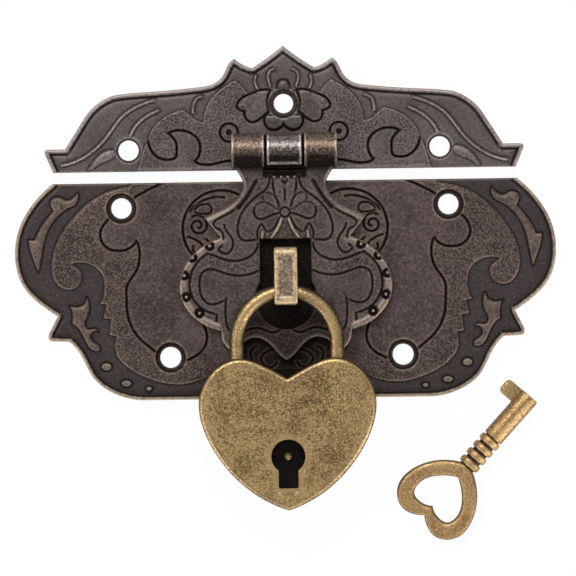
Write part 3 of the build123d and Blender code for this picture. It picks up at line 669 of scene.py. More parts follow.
acanthusEdge = [
    [(27.6, 16.2), (31.5, 15.3), (34, 14), (36.5, 11.9), (38.5, 9.6), (40, 7.3), (41, 5), (41.4, 2.8),
     (41.3, 1), (40.8, -0.3), (39.8, -1.5), (38.5, -1.9), (37.2, -1.6), (36.3, -0.8), (36, 0.2),
     (36.2, 1.4), (37, 2.1), (37.7, 2.6)],
    [(37.7, 2.6), (36.5, 2.9), (35, 2.7), (33.4, 1.8), (32.4, 0.5), (32.1, -1), (32.2, -2.5), (32.9, -4.4)],
    [(32.9, -4.4), (31.8, -4.6)], [(31.8, -4.6), (32.1, -5.8), (32.4, -7)], [(32.4, -7), (31, -7.2)],
    [(31, -7.2), (31.2, -8.6), (31.4, -10)], [(31.4, -10), (30.1, -10.2)],
    [(30.1, -10.2), (30.4, -12), (30.2, -13.2), (29, -15), (27, -16.6), (24.5, -17.8), (21.5, -18.7),
     (18, -18.8), (15, -18), (13, -16.9)],
]
centreEdge = [
    [(21.3, 16.8), (24.3, 15.5), (26.8, 14.1)],
    [(26.8, 14.1), (30.9, 10.7)],
    [(30.9, 10.7), (32.3, 9.1), (32.7, 7.8), (32.3, 6.3), (31.1, 5.2), (29.5, 4.9), (28, 5.1), (27, 5.7),
     (26.3, 6.6)],
    [(26.3, 6.6), (25.8, 5), (25.8, 3.5), (26.3, 1.5), (27.5, -0.3), (28.1, -1.5), (28.2, -3.5),
     (28.1, -6), (27.6, -8), (26.3, -10.3), (24.5, -12), (23, -13.2)],
    [(23, -13.2), (17.9, -14.7)],
    [(17.9, -14.7), (16.3, -14), (14.7, -12.6), (14.1, -11), (14.2, -9.6), (14.7, -8.3)],
]
arrowLeaf = [
    [(36.6, 15.2), (37.5, 14.3), (38.6, 13.9), (39.6, 14.4), (40.8, 14.4), (41.4, 13.9), (41.3, 12.8),
     (40.9, 12.1)],
    [(40.9, 12.1), (42.3, 10.5), (43.8, 8.2), (44.3, 7)],
    [(44.3, 7), (45.4, 7)],
    [(45.4, 7), (45, 4.8), (44.3, 2.8), (43.7, 1.3)],
    [(43.7, 1.3), (43.3, 3), (43, 4.7), (42.2, 7.9), (41, 10.1), (39.6, 11.6), (38.3, 12.5), (37.1, 13.1),
     (36.5, 14.2), (36.6, 15.2)],
]
sprig = [
    [(35.3, -3.2), (35.9, -4.6), (36.7, -4.9), (38.3, -4.7)],
    [(38.3, -4.7), (37.8, -5.9), (37.8, -7.2), (37.9, -8)],
    [(37.9, -8), (36.9, -8.6), (36.3, -9.5), (35.6, -11), (34.8, -12.3), (33.9, -12.8), (33, -12.6)],
    [(33, -12.6), (33.2, -11.8), (34.1, -11.2), (34.6, -10.3), (34.3, -9.5), (33.3, -9.3)],
    [(33.3, -9.3), (34, -8.8), (35, -8.9), (35.6, -8.3), (35.3, -7), (34.8, -5.5), (34.9, -4),
     (35.3, -3.2)],
]
drops = [((31.9, -15.6), 0.95, 0.7), ((28.4, -18.6), 0.95, 0.6), ((24.4, -19.6), 0.6, 0.45)]
acanthus = trail(acanthusEdge)
centre = trail(centreEdge)
panel = trail([[(0, 17.6), (25.8, 17.6)], [(25.8, 17.6), (27.6, 16.2)], *acanthusEdge, [(13, -16.9),
                                                                                        (0, -16.4)]])
lowerItems = [
    raised(panel, lowerPlate["relief"], wear=0.7, ink=0.6),
    raised(arrowLeaf, lowerPlate["relief"], wear=0.75, dome=0.1, polish=0.14, ink=0.9),
    raised(sprig, lowerPlate["relief"], wear=0.75, dome=0.1, polish=0.14, ink=0.9),
    stippled(acanthus, centre[::-1]),
    groove(centreEdge[:1]), groove(centreEdge[2:4]), groove(centreEdge[5:]),
    groove(circleLine(*lowerPlate["medallion"])),
    groove(spiralLine((15.4, 9.1), 1.9, 0.4, 60, 560), 0.4, 0.25),
    groove([(10.6, 14), (13, 14), (15.2, 13.1), (16.8, 11.6)], 0.4, 0.22),
    groove([(15.9, 11.5), (14.6, 11.2), (13, 11.6), (13.2, 12.6), (14.8, 12.8), (15.9, 11.9)], 0.35, 0.22),
    groove([(17.3, 7.2), (15.8, 6.6), (14.6, 5.4), (14.9, 4.2), (16, 4.4), (16.2, 5.6)], 0.4, 0.25),
    groove([(13.4, 2), (13.9, 3.4), (13.2, 4.9), (13.9, 6.6)], 0.35, 0.22),
    groove([(0, -12.6), (2.4, -12.9), (4.6, -14.6), (3.6, -16), (1.8, -15.2)], 0.4, 0.25),
    groove([(5.4, -12.4), (6.4, -13.4), (6, -15)], 0.4, 0.25),
    # shadowed under the leaf: inside its slot and below its scalloped end
    shade([(-1, 6.9), (4.9, 6.9), (4.9, -0.5), (5.7, -4), (4.2, -8.1), (0, -9.8), (-1, -9.8)], 0.9),
    shade([(-1, -8), (10.2, -8), (10.4, -11.5), (8.6, -16.2), (4, -18.6), (-1, -19.4)], 0.84, 0.9),
]
for middle, long, short in drops:
    drop = np.array(middle) + circleLine((0, 0), 1, step=0.12) * (long, short)
    lowerItems.append(raised(drop, 0.45, wear=0.6, dome=0.2, polish=0.35))
lowerPiece = reliefPlate("lowerPlate", lowerPlate, lowerEdge, lowerItems, bronze)


# Lid plate, heights counted from its lower edge

lidPlate = {
    "sheet": 1.5, "relief": 0.5, "rim": 0.6, "rimWidth": 0.74, "moat": 0.14, "round": 0.3,
    "holes": [((27.5, 3.75), 1.8, 2.1, 0.0), ((0, 11.7), 1.7, 2.5, 0.05)],
    "holeRow": 0.2, "seatRows": (0, 0.2), "rosette": ((9.7, 6.7), 1.6),
    "fieldShade": 0.5, "widest": 42.5, "gap": 0.45, "edgeY": 18.8,
}
lidEdge = [
    [(0, 0), (40.9, 0)],
    [(40.9, 0), (42.3, 3.3)],
    [(42.3, 3.3), (42.2, 3.9), (41.7, 4.1)],
    [(41.7, 4.1), (38.7, 4.1)],
    [(38.7, 4.1), (35.2, 9.6)],
    [(35.2, 9.6), (33.2, 11.8), (30, 13.5)],
    [(30, 13.5), (22, 14.15), (15, 14.75), (12.4, 15.3), (10.6, 16.8), (9.6, 18.8), (8.6, 19.7)],
    [(8.6, 19.7), (7.2, 18.7), (5.5, 18)],
    [(5.5, 18), (3, 19.6), (0, 21.9)],
]
lidAcanthus = [
    [(24, 5.5), (23.7, 4.2), (22.8, 2.9), (21.3, 2.1), (20, 2.1), (19.2, 2.4), (19, 3.5), (19, 4.8),
     (19.5, 5.8), (20.5, 6.7)],
    [(20.5, 6.7), (19, 7.2), (17.5, 7.1), (16, 6.4), (15, 5.2), (14.8, 4), (15, 2.9), (15.8, 1.7)],
    [(15.8, 1.7), (14.8, 1.2), (13, 1.1), (11, 1.5), (9.5, 1.7)],
]
lidTopLine = [
    [(24, 5.5), (23.5, 7.2), (22, 9), (20, 10.2), (17.9, 10.9)],
    [(17.9, 10.9), (16.8, 10.2), (15.5, 9.1), (14.2, 8.7)],
    [(14.2, 8.7), (14.1, 10), (13.5, 11.7), (12, 13.7), (10, 15.2), (8.5, 16)],
    [(8.5, 16), (7, 14.6), (6.5, 13.9)],
]
sidePetal = [
    [(2.3, 14.1), (4, 14.1), (5.5, 13.6), (6.7, 13.1), (8, 12), (8.2, 11.3), (7.5, 10.6), (6.8, 10.5)],
    [(6.8, 10.5), (6.8, 9.6), (6.2, 8.7), (5.4, 8.5), (4.4, 8.9), (3.3, 9.8), (2.6, 10.3)],
    [(2.6, 10.3), (2.9, 12.2), (2.3, 14.1)],
]
lowerPetal = [[(0, 8), (0.8, 7.3), (1.8, 7), (2.8, 7.4), (3.4, 8.5), (3.2, 9.6)], [(3.2, 9.6), (0, 9.5)]]
crown = [[(0, 15.9), (0.7, 15.7), (1, 15), (1, 14.4)], [(1, 14.4), (0, 14.3)]]
lidTop = trail(lidTopLine)
lidLower = trail(lidAcanthus)
lidPanel = trail([[(0, -1), (26.4, -1)], [(26.4, -1), (24.7, 4.6)], [(24.7, 4.6), (24, 5.5)], *lidTopLine,
                  [(6.5, 13.9), (0, 13.9)]])
lidItems = [
    raised(lidPanel, lidPlate["relief"] * 0.8, wear=0.7, ink=0.4),
    raised(sidePetal, lidPlate["relief"], wear=0.3, dome=0.1),
    raised(lowerPetal, lidPlate["relief"], wear=0.3, dome=0.1),
    raised(crown, lidPlate["relief"], wear=0.3, dome=0.1),
    raised([[(30.2, 4), (31.3, 3.9), (32.9, 3), (34, 1.7), (34.8, 0.4)], [(34.8, 0.4), (33.9, 0.5),
                                                                          (33.1, 1.1), (32, 1.7),
                                                                          (30.7, 2.2), (29.9, 2.9),
                                                                          (29.7, 3.5), (30.2, 4)]], 0.45,
           wear=0.6, dome=0.2, polish=0.3, ink=0.6),
    stippled(lidLower, [(6.2, 7.6), (6.5, 13.9)], lidTop[::-1]),
    groove(lidLower, 0.5, 0.32), groove([(0, 0.16), (25.8, 0.16)], 0.1, 0.0, wear=0.8, ink=0.0),
    groove(circleLine(*lidPlate["rosette"]), 0.45, 0.28),
    groove(circleLine(lidPlate["rosette"][0], 0.3), 0.5, 0.2),
    groove(sidePetal, 0.4, 0.3, 0.1), groove(lowerPetal[:1], 0.4, 0.3, 0.1),
    ridge([(22.9, 12.6), (25, 11.9), (27, 10.9), (28.5, 9.8), (30.1, 7.9), (31.5, 6), (33, 4.4), (35, 2.9),
           (37, 1.9), (39.3, 1.3)]),
    ridge([(22.1, 10.8), (24, 9.9), (25.5, 8.8), (27.1, 6.5)]),
    ridge([(14.5, 13.1), (15.5, 12.5), (15.9, 11.6), (16, 10.4)]),
    ridge([(1.7, 17.8), (2.5, 17.3), (2.6, 15.8), (2.3, 15)], 0.5),
    ridge([(4.8, 16.7), (5, 15.6), (4.5, 14.4)], 0.5),
    # shadowed under the knuckles
    shade([(-1, -1.5), (9.1, -1.5), (9.1, 6.3), (-1, 6.3)], 1.0, 0.25),
]
lidPiece = reliefPlate("lidPlate", lidPlate, lidEdge, lidItems, lidBronze)


# Hinge: rolled knuckles round a pin

hinge = {"y": 22.3, "z": 5.4, "knuckle": 3.0, "bore": 1.5, "pin": 1.49, "pinHalf": 9.3, "centreHalf": 3.05,
         "outerFrom": 3.55, "outerTo": 9.3, "bevel": 0.12, "tab": (0.45, 1.4), "tabFloor": 0.2}


def rolledKnuckle(fromX, toX, startAngle, endAngle, radiusOf, bore, lip=False):
    # a curl of sheet round the pin; angles in degrees from +Y towards +Z
    angles = np.radians(np.linspace(startAngle, endAngle, 56))
    bevel = hinge["bevel"]
    # how far in from each end, and how much smaller there
    ends = [(0, bevel), (bevel * 0.4, bevel * 0.3), (bevel, 0), (0.25, 0), (0.4, 0), (0.55, 0.02),
            (0.75, 0.05),
            (1.1, 0.05)]
    rings = []
    for x, inset in ([(fromX + far, inset) for far, inset in ends]
                     + [(toX - far, inset) for far, inset in ends[::-1]]):
        outer = (radiusOf(np.degrees(angles)) - inset)[:, None] * around(angles)
        ring = np.vstack([outer, (bore * around(angles))[::-1]])
        rings.append(np.c_[np.full(len(ring), x), ring + (hinge["y"], hinge["z"])])
    verts, faces = sweepRings(rings, closedEnds=False)
    count = len(rings[0])
    for base, flip in ((0, True), ((len(rings) - 1) * count, False)):
        for i in range(count // 2 - 1):
            quad = [base + i, base + i + 1, base + count - 2 - i, base + count - 1 - i]
            faces.append(quad[::-1] if flip else quad)
    nearEnd = np.minimum(verts[:, 0] - fromX, toX - verts[:, 0])
    # lighter on the side of the lid, black towards the leaf, a rubbed edge at each end
    low = (hinge["y"] - verts[:, 1]) / hinge["knuckle"]
    dark = ease((low + 0.05) / 0.55)
    rubbed = (1 - ease((nearEnd - 0.2) / 0.3)) * (1 - 0.6 * dark) + 0.15 * bell((low + 0.4) / 0.4)
    if lip:
        # painted highlight along the lip
        lipped = bell((low - 0.86) / 0.09) * (verts[:, 2] > hinge["z"])
        rubbed, dark = np.maximum(rubbed, lipped), dark * (1 - lipped)
    return verts, faces, {"rubbed": np.clip(rubbed, 0, 1), "dark": dark, "grain": np.full(len(verts), 0.8)}


def plainRadius(angles):
    return np.full(len(angles), hinge["knuckle"])


def lippedRadius(angles):
    # the curl's end stands up as a lip on the lower side, with a hollow below it
    lip = 0.12 * bell((angles - 150) / 8)
    hollow = 0.5 * ease((angles - 161) / 6)
    return hinge["knuckle"] - 0.12 + lip - hollow


spans = ((hinge["outerFrom"], hinge["outerTo"]), (-hinge["outerTo"], -hinge["outerFrom"]))
outerKnuckles = join([rolledKnuckle(*span, -92, 203, plainRadius, hinge["bore"]) for span in spans])
leafKnuckles = newPiece("leafKnuckles", outerKnuckles, knuckleBronze, sharp=55)
centreKnuckle = rolledKnuckle(-hinge["centreHalf"], hinge["centreHalf"], -112, 182, lippedRadius,
                              hinge["bore"] + 0.05, lip=True)
lidKnuckle = newPiece("lidKnuckle", centreKnuckle, silverBronze, sharp=55)

tabX = hinge["centreHalf"] - 0.05
tabFrom, tabTo = (hinge["y"] - hinge["knuckle"] + y for y in hinge["tab"])
tabTop, tabFloor = hinge["z"], hinge["tabFloor"]
tab = sweepRings([[(x, tabFrom, tabTop), (x, tabTo, tabTop), (x, tabTo, tabFloor), (x, tabFrom, tabFloor)]
                  for x in (-tabX, tabX)])
# the tab under the knuckle is painted dark as shade
lidTab = newPiece("lidTab", (*tab, evenly(tab[0], dark=0.8)), lidBronze)

# how far in from the pin's end, and its radius there
pinEnd = [(0, 1.0), (0.05, 1.3), (0.25, hinge["pin"])]
pinSides = around(np.radians(np.arange(0, 360, 9)))
pin = sweepRings([np.c_[np.full(len(pinSides), x), (hinge["y"], hinge["z"]) + radius * pinSides]
                  for x, radius in ([(far - hinge["pinHalf"], radius) for far, radius in pinEnd]
                                    + [(hinge["pinHalf"] - far, radius) for far, radius in pinEnd[::-1]])])
# black inside the knuckles as painted shade, rubbed at its ends
atEnds = (np.abs(pin[0][:, 0]) > hinge["pinHalf"] - 0.2).astype(float)
hingePin = newPiece("hingePin", (*pin, {"rubbed": 0.4 * atEnds, "dark": 1 - atEnds}), knuckleBronze)
print("hinge")


# Hasp leaf, heights counted from the hinge axis

leaf = {"back": 2.4, "sheet": 1.3, "field": 0.36, "bandWidth": 1.22, "bandRise": 0.42, "slotHalf": 4.55,
        "slotTop": -15.7, "eyeY": -26.3, "eyeRadius": 5.4, "beadRadius": 0.28, "beadGap": 0.82,
        "beadRise": 0.28, "rowY": -4.75, "rowX": (-1.75, -0.6, 0.6, 1.75), "rowRadius": 0.23, "gap": 0.4,
        "beads": [(13.35, -16.8), (16.4, -18.85), (17.9, -21.95), (17.6, -25.75), (15.3, -28.65)]}
leafEdge = [
    [(0, -3.45), (3.55, -3.45)],
    [(3.55, -3.45), (3.55, 0)],
    [(3.55, 0), (9.3, 0)],
    [(9.3, 0), (9.3, -2.5)],
    [(9.3, -2.5), (7.9, -4.4), (7.3, -6), (8.2, -8.2), (10.4, -10), (14.25, -11.8)],
    [(14.25, -11.8), (12.8, -13.6), (11.4, -15.3)],
    [(11.4, -15.3), (13.7, -16.3), (16.7, -18.7), (18.6, -22.4), (18.6, -25.7), (16.8, -28.9),
     (12.4, -31.6)],
    [(12.4, -31.6), (11.5, -31.9)],
    [(11.5, -31.9), (10.8, -34.4), (9.1, -35.6)],
    [(9.1, -35.6), (7.8, -34), (5.5, -33.05), (3.3, -34), (1.3, -36.2), (0, -37.15)],
]
leafNeck = trail(leafEdge[3:5])
leafLobe = trail(leafEdge[6:7])
innerLobe = smoothLine([(4.85, -21.3), (6.95, -22), (9.45, -22), (11.95, -21.2), (13.45, -20.9),
                        (14.75, -21.5), (15.25, -23.5), (14.75, -26), (13.65, -27), (12.25, -27),
                        (10.6, -26.2)])
bandLine = smoothLine([(13.75, -18.1), (14.9, -18.95), (16, -20.2), (16.75, -21.8), (17.05, -23.8),
                       (16.5, -25.9), (15.2, -27.6), (14, -28.35), (12.25, -28.9)])
crescent = smoothLine([(4.85, -16.6), (5.45, -18), (6.95, -19.1), (9.45, -19.5), (11.45, -19),
                       (13.75, -18.1)])
leafItems = [
    groove([(5.15, -5.4), (6.25, -7.5), (7.45, -9), (8.95, -10.5), (10.25, -11.3), (11.75, -12),
            (12.65, -13), (12.45, -13.5), (11.45, -14), (10.95, -15), (10.95, -16), (11.45, -17),
            (11.8, -17.4), (11.25, -18), (10.45, -18.2), (9.45, -17.3), (9.25, -16), (9.75, -15),
            (10.45, -14), (10.75, -13)], 0.42, 0.3),
    groove([(5, -5.4), (6, -7.1), (7.1, -8.9), (8.2, -10.2)], 0.95, 0.38, ink=0.85),
    groove(crescent, 0.5, 0.3), groove(innerLobe, 0.46, 0.3), groove(bandLine, 0.5, 0.3),
    groove([(10.6, -26.2), (10.75, -28), (10.65, -30), (10.35, -31.3), (8.95, -32.2)], 0.42, 0.3),
    groove([(12.25, -28.9), (12.35, -30.4), (12.3, -31.4)], 0.5, 0.3),
    # flower: upper petal and its two lines, petals at its sides, the broad petals, stamens
    groove([(0, -7), (0, -8.8)], 0.4, 0.25), groove([(0.5, -5.35), (0.2, -5.7), (0, -6)], 0.4, 0.25),
    groove([(2.1, -5.2), (2.05, -6.4), (1.75, -7.8), (1.3, -9.2), (1, -10.2)], 0.5, 0.3),
    groove([(1.1, -9.8), (1.6, -8.4), (2.25, -7.75), (3.1, -7.5), (3.75, -7.7), (3.9, -8.4), (3.6, -9.1)],
           0.4, 0.26, ink=0.8),
    groove([(1, -10.6), (2, -10), (2.9, -9.4), (3.8, -9.2), (4.8, -9.45), (5.35, -10.1)], 0.34, 0.2,
           ink=0.75),
    groove([(5.35, -10.1), (5.5, -10.85), (5.25, -11.65), (4.55, -12.15), (3.4, -11.95), (2.05, -11.4),
            (1, -11.15)], 0.46, 0.3),
    groove([(2.6, -4.7), (2.8, -6), (3.4, -7), (4.8, -8.05), (6.3, -9.35), (7.5, -10.9), (8.2, -12.5),
            (8.4, -13.8), (8.2, -15), (7.8, -15.65), (6.9, -15.95), (4.9, -15.75)], 0.46, 0.3),
    groove([(0.8, -11.8), (1.6, -13.2), (2.6, -14.3), (3.3, -14.4)], 0.42, 0.28),
    groove([[(3.3, -14.4), (4.15, -13)], [(4.15, -13), (4.7, -13.7), (4.85, -15.6)]], 0.4, 0.28),
    ridge([(0.7, -12.3), (1.3, -13.8), (2.4, -15.45)], 0.5, 0.14, 0.95),
    ridge([(4, -14.5), (4.05, -15.5)], 0.5, 0.14, 0.8),
    groove(circleLine((0, -11), 0.85), 0.3, 0.2),
    groove([(0.9, -31.6), (1.5, -32), (2.6, -32.2), (3.9, -31.75), (5, -31.4), (6.5, -31.6), (7.8, -32.1)],
           0.45, 0.25),
    stippled(crescent, [(14.9, -19.9), (16.3, -22), (16.6, -24), (15.8, -26), (14.6, -27.4), (12, -28)],
             innerLobe[::-1]),
    stippled([(-1, -32), (2.6, -32.5), (5, -31.8), (9.6, -32.4), (9.8, -35.2), (5.5, -33.4), (1.5, -36.6),
              (-1, -37.8)]),
    shade([(-1, -27), (8.2, -27), (9.4, -31.5), (10, -36), (-1, -38)], 0.62, 0.8),
    shade([(-1, -3), (3.9, -3), (3.9, -4.7), (3.3, -5), (2.4, -5.1), (-1, -5.1)], 1.0, 0.15),
]
leafLoop = bothSides(trail(leafEdge))
slotSide = leaf["slotHalf"]
eyeMeet = math.degrees(math.asin(math.sqrt(leaf["eyeRadius"] ** 2 - slotSide ** 2) / leaf["eyeRadius"]))
eye = circleLine((0, leaf["eyeY"]), leaf["eyeRadius"], eyeMeet, -90 - eyeMeet)
slotCorner = (slotSide, leaf["slotTop"])
slotStraight = trail([[(0, leaf["slotTop"]), slotCorner], [slotCorner, tuple(eye[0])]])
slotLoop = bothSides(np.vstack([slotStraight[:-1], eye]))


def leafTop(points):
    folded = onRight(points)
    rise, dark, rubbed, grain = carve(folded, leafItems)
    edge, slotEdge = distance(points, closed(leafLoop)), distance(points, closed(slotLoop))
    rise = rise + leaf["field"]
    # the neck's rounded side
    neck = distance(folded, leafNeck)
    width = 0.35 + 0.5 * np.clip((folded[:, 0] - 6.5) / 6, 0, 1)
    rise -= 0.32 * (1 - np.clip(neck / width, 0, 1))
    neckWear = 0.3 * (1 - ease((neck - width + 0.1) / 0.2)) + 0.35 * bell((neck - width) / 0.12)
    rubbed = np.maximum(rubbed, neckWear)
    # the lobe's raised band, broken by the beads
    band = distance(folded, leafLobe)
    inBand = (1 - ease((band - leaf["bandWidth"] + 0.1) / 0.2)) * ease((-15.6 - folded[:, 1]) / 0.5)
    rise = rise * (1 - inBand) + (leaf["bandRise"] + 0.1 * bell((band - 0.6) / 0.4)) * inBand
    bandWear = 0.45 + 0.45 * bell((band - 0.25) / 0.18) + 0.25 * bell((band - 1.0) / 0.12)
    rubbed = np.maximum(rubbed * (1 - inBand), inBand * bandWear)
    dark = dark * (1 - inBand)
    for x, y in leaf["beads"]:
        away = np.hypot(folded[:, 0] - x, folded[:, 1] - y)
        gap = 1 - ease((away - leaf["beadGap"]) / 0.16)
        rise = rise * (1 - gap) + 0.12 * gap
        dark = np.maximum(dark, gap)
        rubbed = rubbed * (1 - gap)
    # rubbed edges all round; the wider bright edge along the scalloped end is a painted highlight
    end = ease((-31.5 - folded[:, 1]) / 1.0)
    rubbed = np.maximum(rubbed, bell(edge / (0.17 + 0.14 * end)) * (folded[:, 1] < -3.6))
    rubbed = np.maximum(rubbed, 0.3 * bell(slotEdge / 0.14))
    rise -= roundOff(edge, 0.28, 0.28)
    rise -= roundOff(slotEdge, 0.2, 0.2)
    # painted shade: black under the knuckles
    under = ease((folded[:, 1] + 4.2) / 1.6)
    grain = grain * (edge > 0.6)
    marks = {"dark": np.maximum(dark, under), "rubbed": rubbed * (1 - under), "grain": grain}
    return leaf["back"] + leaf["sheet"] + rise, marks


bandRows, neckRows = (0.3, 0.65, 0.95, 1.2, 1.4), (0.35, 0.6, 0.85, 1.1)
leafRows = rowsBeside(leafItems + [{"line": line, "rows": list(rows) + [-away for away in rows]}
                                   for line, rows in ((leafLobe, bandRows), (leafNeck, neckRows))])
beadRows = [circleLine(xy, r, step=0.15) for xy in leaf["beads"] for r in (0.3, 0.6, 0.8, 0.92, 1.05)]
leafPoints = meshPoints(leafLoop, [slotLoop[::-1]], np.vstack([leafRows, *beadRows]), leaf["gap"])
leafPart = solidPlate(leafLoop, [slotLoop], leafPoints, leafTop, leaf["back"])
leafPiece = newPiece("haspLeaf", leafPart, leafBronze, up=hinge["y"])
print("leaf", len(leafPart[1]), "faces")


# Repeated studs: stipple on the ornament and beads on the leaf, by Geometry Nodes

def studTree(name, onFaces):
    tree = bpy.data.node_groups.new(name, "GeometryNodeTree")
    tree.interface.new_socket("Geometry", in_out="INPUT", socket_type="NodeSocketGeometry")
    wanted = [("Spacing", "NodeSocketFloat"), ("Radius", "NodeSocketFloat"),
              ("Flatness", "NodeSocketFloat"),
              ("Seed", "NodeSocketInt"), ("Material", "NodeSocketMaterial")]
    for label, kind in wanted:
        tree.interface.new_socket(label, in_out="INPUT", socket_type=kind)
    tree.interface.new_socket("Geometry", in_out="OUTPUT", socket_type="NodeSocketGeometry")
    add, link = tree.nodes.new, tree.links.new
    given, result = add("NodeGroupInput"), add("NodeGroupOutput")
    place, size = add("GeometryNodeInstanceOnPoints"), add("FunctionNodeRandomValue")
    ball, shape, flat = (add(kind) for kind in ("GeometryNodeMeshIcoSphere", "GeometryNodeTransform",
                                                "ShaderNodeCombineXYZ"))
    real, paint = add("GeometryNodeRealizeInstances"), add("GeometryNodeSetMaterial")
    size.data_type = "FLOAT"
    size.inputs[2].default_value, size.inputs[3].default_value = (0.55, 1.1) if onFaces else (1, 1)
    ball.inputs["Subdivisions"].default_value = 1 if onFaces else 3
    flat.inputs[0].default_value = flat.inputs[1].default_value = 1
    if onFaces:
        # scattered as thickly as the spacing allows wherever the grain mark is
        scatter, masked = add("GeometryNodeDistributePointsOnFaces"), add("GeometryNodeInputNamedAttribute")
        scatter.distribute_method = "POISSON"
        masked.data_type = "FLOAT"
        masked.inputs["Name"].default_value = "grain"
        most = add("ShaderNodeMath")
        most.operation = "POWER"
        most.inputs[1].default_value = -2
        wires = [(given, "Geometry", scatter, "Mesh"), (given, "Spacing", scatter, "Distance Min"),
                 (given, "Spacing", most, 0), (most, 0, scatter, "Density Max"),
                 (masked, "Attribute", scatter, "Density Factor"), (given, "Seed", scatter, "Seed"),
                 (scatter, "Points", place, "Points"), (scatter, "Rotation", place, "Rotation")]
    else:
        wires = [(given, "Geometry", place, "Points")]
    wires += [(given, "Seed", size, "Seed"), (given, "Radius", ball, "Radius"),
              (given, "Flatness", flat, 2),
              (flat, 0, shape, "Scale"), (ball, "Mesh", shape, "Geometry"),
              (shape, "Geometry", place, "Instance"), (size, 1, place, "Scale"),
              (place, "Instances", real, 0), (real, 0, paint, "Geometry"),
              (given, "Material", paint, "Material"), (paint, "Geometry", result, 0)]
    for source, output, target, socket in wires:
        link(source.outputs[output], target.inputs[socket])
    return tree


def studs(name, source, tree, values, marks):
    modifier = source.modifiers.new("studs", "NODES")
    modifier.node_group = tree
    for item in tree.interface.items_tree:
        if item.in_out == "INPUT" and item.name in values:
            modifier[item.identifier] = values[item.name]
    evaluated = source.evaluated_get(bpy.context.evaluated_depsgraph_get())
    mesh = bpy.data.meshes.new_from_object(evaluated)
    source.modifiers.remove(modifier)
    mesh.name = name
    for mark, value in marks.items():
        if mark in mesh.attributes:
            mesh.attributes.remove(mesh.attributes[mark])
        even = np.full(len(mesh.vertices), value, np.float32)
        mesh.attributes.new(mark, "FLOAT", "POINT").data.foreach_set("value", even)
    mesh.shade_smooth()
    return linked(bpy.data.objects.new(name, mesh))


stippleTree, beadTree = studTree("stipple", True), studTree("beads", False)
stipple = {"Spacing": 0.52 * mm, "Radius": 0.21 * mm, "Flatness": 0.6, "Seed": 4, "Material": bronze}
stippleMarks = {"rubbed": 0.16, "dark": 0.08, "grain": 0.7}
lowerStipple = studs("lowerStipple", lowerPiece, stippleTree, stipple, stippleMarks)
lidStipple = studs("lidStipple", lidPiece, stippleTree, dict(stipple, Material=lidBronze), stippleMarks)
finer = dict(stipple, Spacing=0.46 * mm, Radius=0.16 * mm, Material=leafBronze)
leafStipple = studs("leafStipple", leafPiece, stippleTree, finer, stippleMarks)

beadZ = leaf["back"] + leaf["sheet"] + leaf["beadRise"]
lobePlaces = [(side * x, hinge["y"] + y, beadZ) for x, y in leaf["beads"] for side in (1, -1)]
rowPlaces = [(x, hinge["y"] + leaf["rowY"], beadZ) for x in leaf["rowX"]]
beads = []
for name, places, radius, rubbed in (("lobeBeads", lobePlaces, leaf["beadRadius"], 0.9),
                                     ("rowBeads", rowPlaces, leaf["rowRadius"], 0.95)):
    helper = newPiece(name + "At", (places, [], {}), bronze)
    values = {"Radius": radius * mm, "Flatness": 0.9, "Seed": 1, "Material": leafBronze}
    beads.append(studs(name, helper, beadTree, values, {"rubbed": rubbed}))
    bpy.data.objects.remove(helper)
print("stipple and beads")

finish(lowerPiece, "box_plate", "antique_bronze", "lower_plate")
finish(lowerStipple, "box_plate", "antique_bronze")
finish(lidPiece, "lid", "antique_bronze", "lid_plate")
for piece in (lidStipple, lidKnuckle, lidTab):
    finish(piece, "lid", "antique_bronze")
finish(leafPiece, "hasp", "antique_bronze", "hasp_leaf")
for piece in (leafStipple, leafKnuckles, *beads):
    finish(piece, "hasp", "antique_bronze")
finish(hingePin, "hasp", "antique_bronze", "hinge_pin")


# Staple: a strap bent to a U, its top sunk between rubbed edges

staple = {"width": 4.1, "halfHeight": 5.1, "strip": 0.9, "top": 11.3, "bend": 1.1, "corner": 0.5,
          "panel": (1.42, 3.75), "sunk": 0.14}


def stapleMesh():
    s = staple
    # path of the outer face in y and z: up, round the bend, along the top, and the same mirrored
    turnY, turnZ = s["halfHeight"] - s["bend"], s["top"] - s["bend"]
    rise = [(s["halfHeight"], z) for z in np.linspace(0, turnZ, 12)[:-1]]
    rise += [(y, z) for y, z in (turnY, turnZ) + s["bend"] * around(np.radians(np.linspace(0, 90, 9)))]
    along = [(y, s["top"]) for y in np.linspace(turnY, -turnY, 42)[1:-1]]
    path = np.array(rise + along + [(-y, z) for y, z in reversed(rise)])
    half, deep, corner = s["width"] / 2, s["strip"], s["corner"]
    curve = half - corner * (1 - np.cos(np.radians(np.linspace(90, 0, 5))))
    across = np.r_[-curve[::-1], np.linspace(-half + corner, half - corner, 25)[1:-1], curve]
    drop = roundOff(half - np.abs(across), corner, corner)
    wear = 0.7 + 0.3 * bell((half - np.abs(across)) / 0.4)
    rings, rubbed, dark = [], [], []
    for place, out in zip(path, -leftOf(np.gradient(path, axis=0))):
        sink = np.zeros(len(across))
        if abs(out[1]) > 0.98:
            reach = np.minimum(s["panel"][0] - np.abs(across), s["panel"][1] - abs(place[0]))
            sink = s["sunk"] * ease((reach + 0.12) / 0.5)
        outside = [(x, *(place - out * (d + k))) for x, d, k in zip(across, drop, sink)]
        inner = [(x, *(place - out * (deep - d * 0.5))) for x, d in zip(across[::-1], drop[::-1])]
        rings.append(outside + inner)
        # the inner face is painted darker as shade
        rubbed += list(wear - sink / s["sunk"] * 0.65) + [0.2] * len(across)
        dark += list(0.3 * sink / s["sunk"]) + [0.6] * len(across)
    verts, faces = sweepRings(rings)
    marks = {"rubbed": np.clip(rubbed, 0, 1), "dark": np.clip(dark, 0, 1), **evenly(verts, grain=0.4)}
    return verts, faces, marks


finish(newPiece("staple", stapleMesh(), stapleBronze), "box_plate", "worn_bronze", "staple")
print("staple")


# Shackle: round bar, toe notched for the bolt, heel flattened to an eye

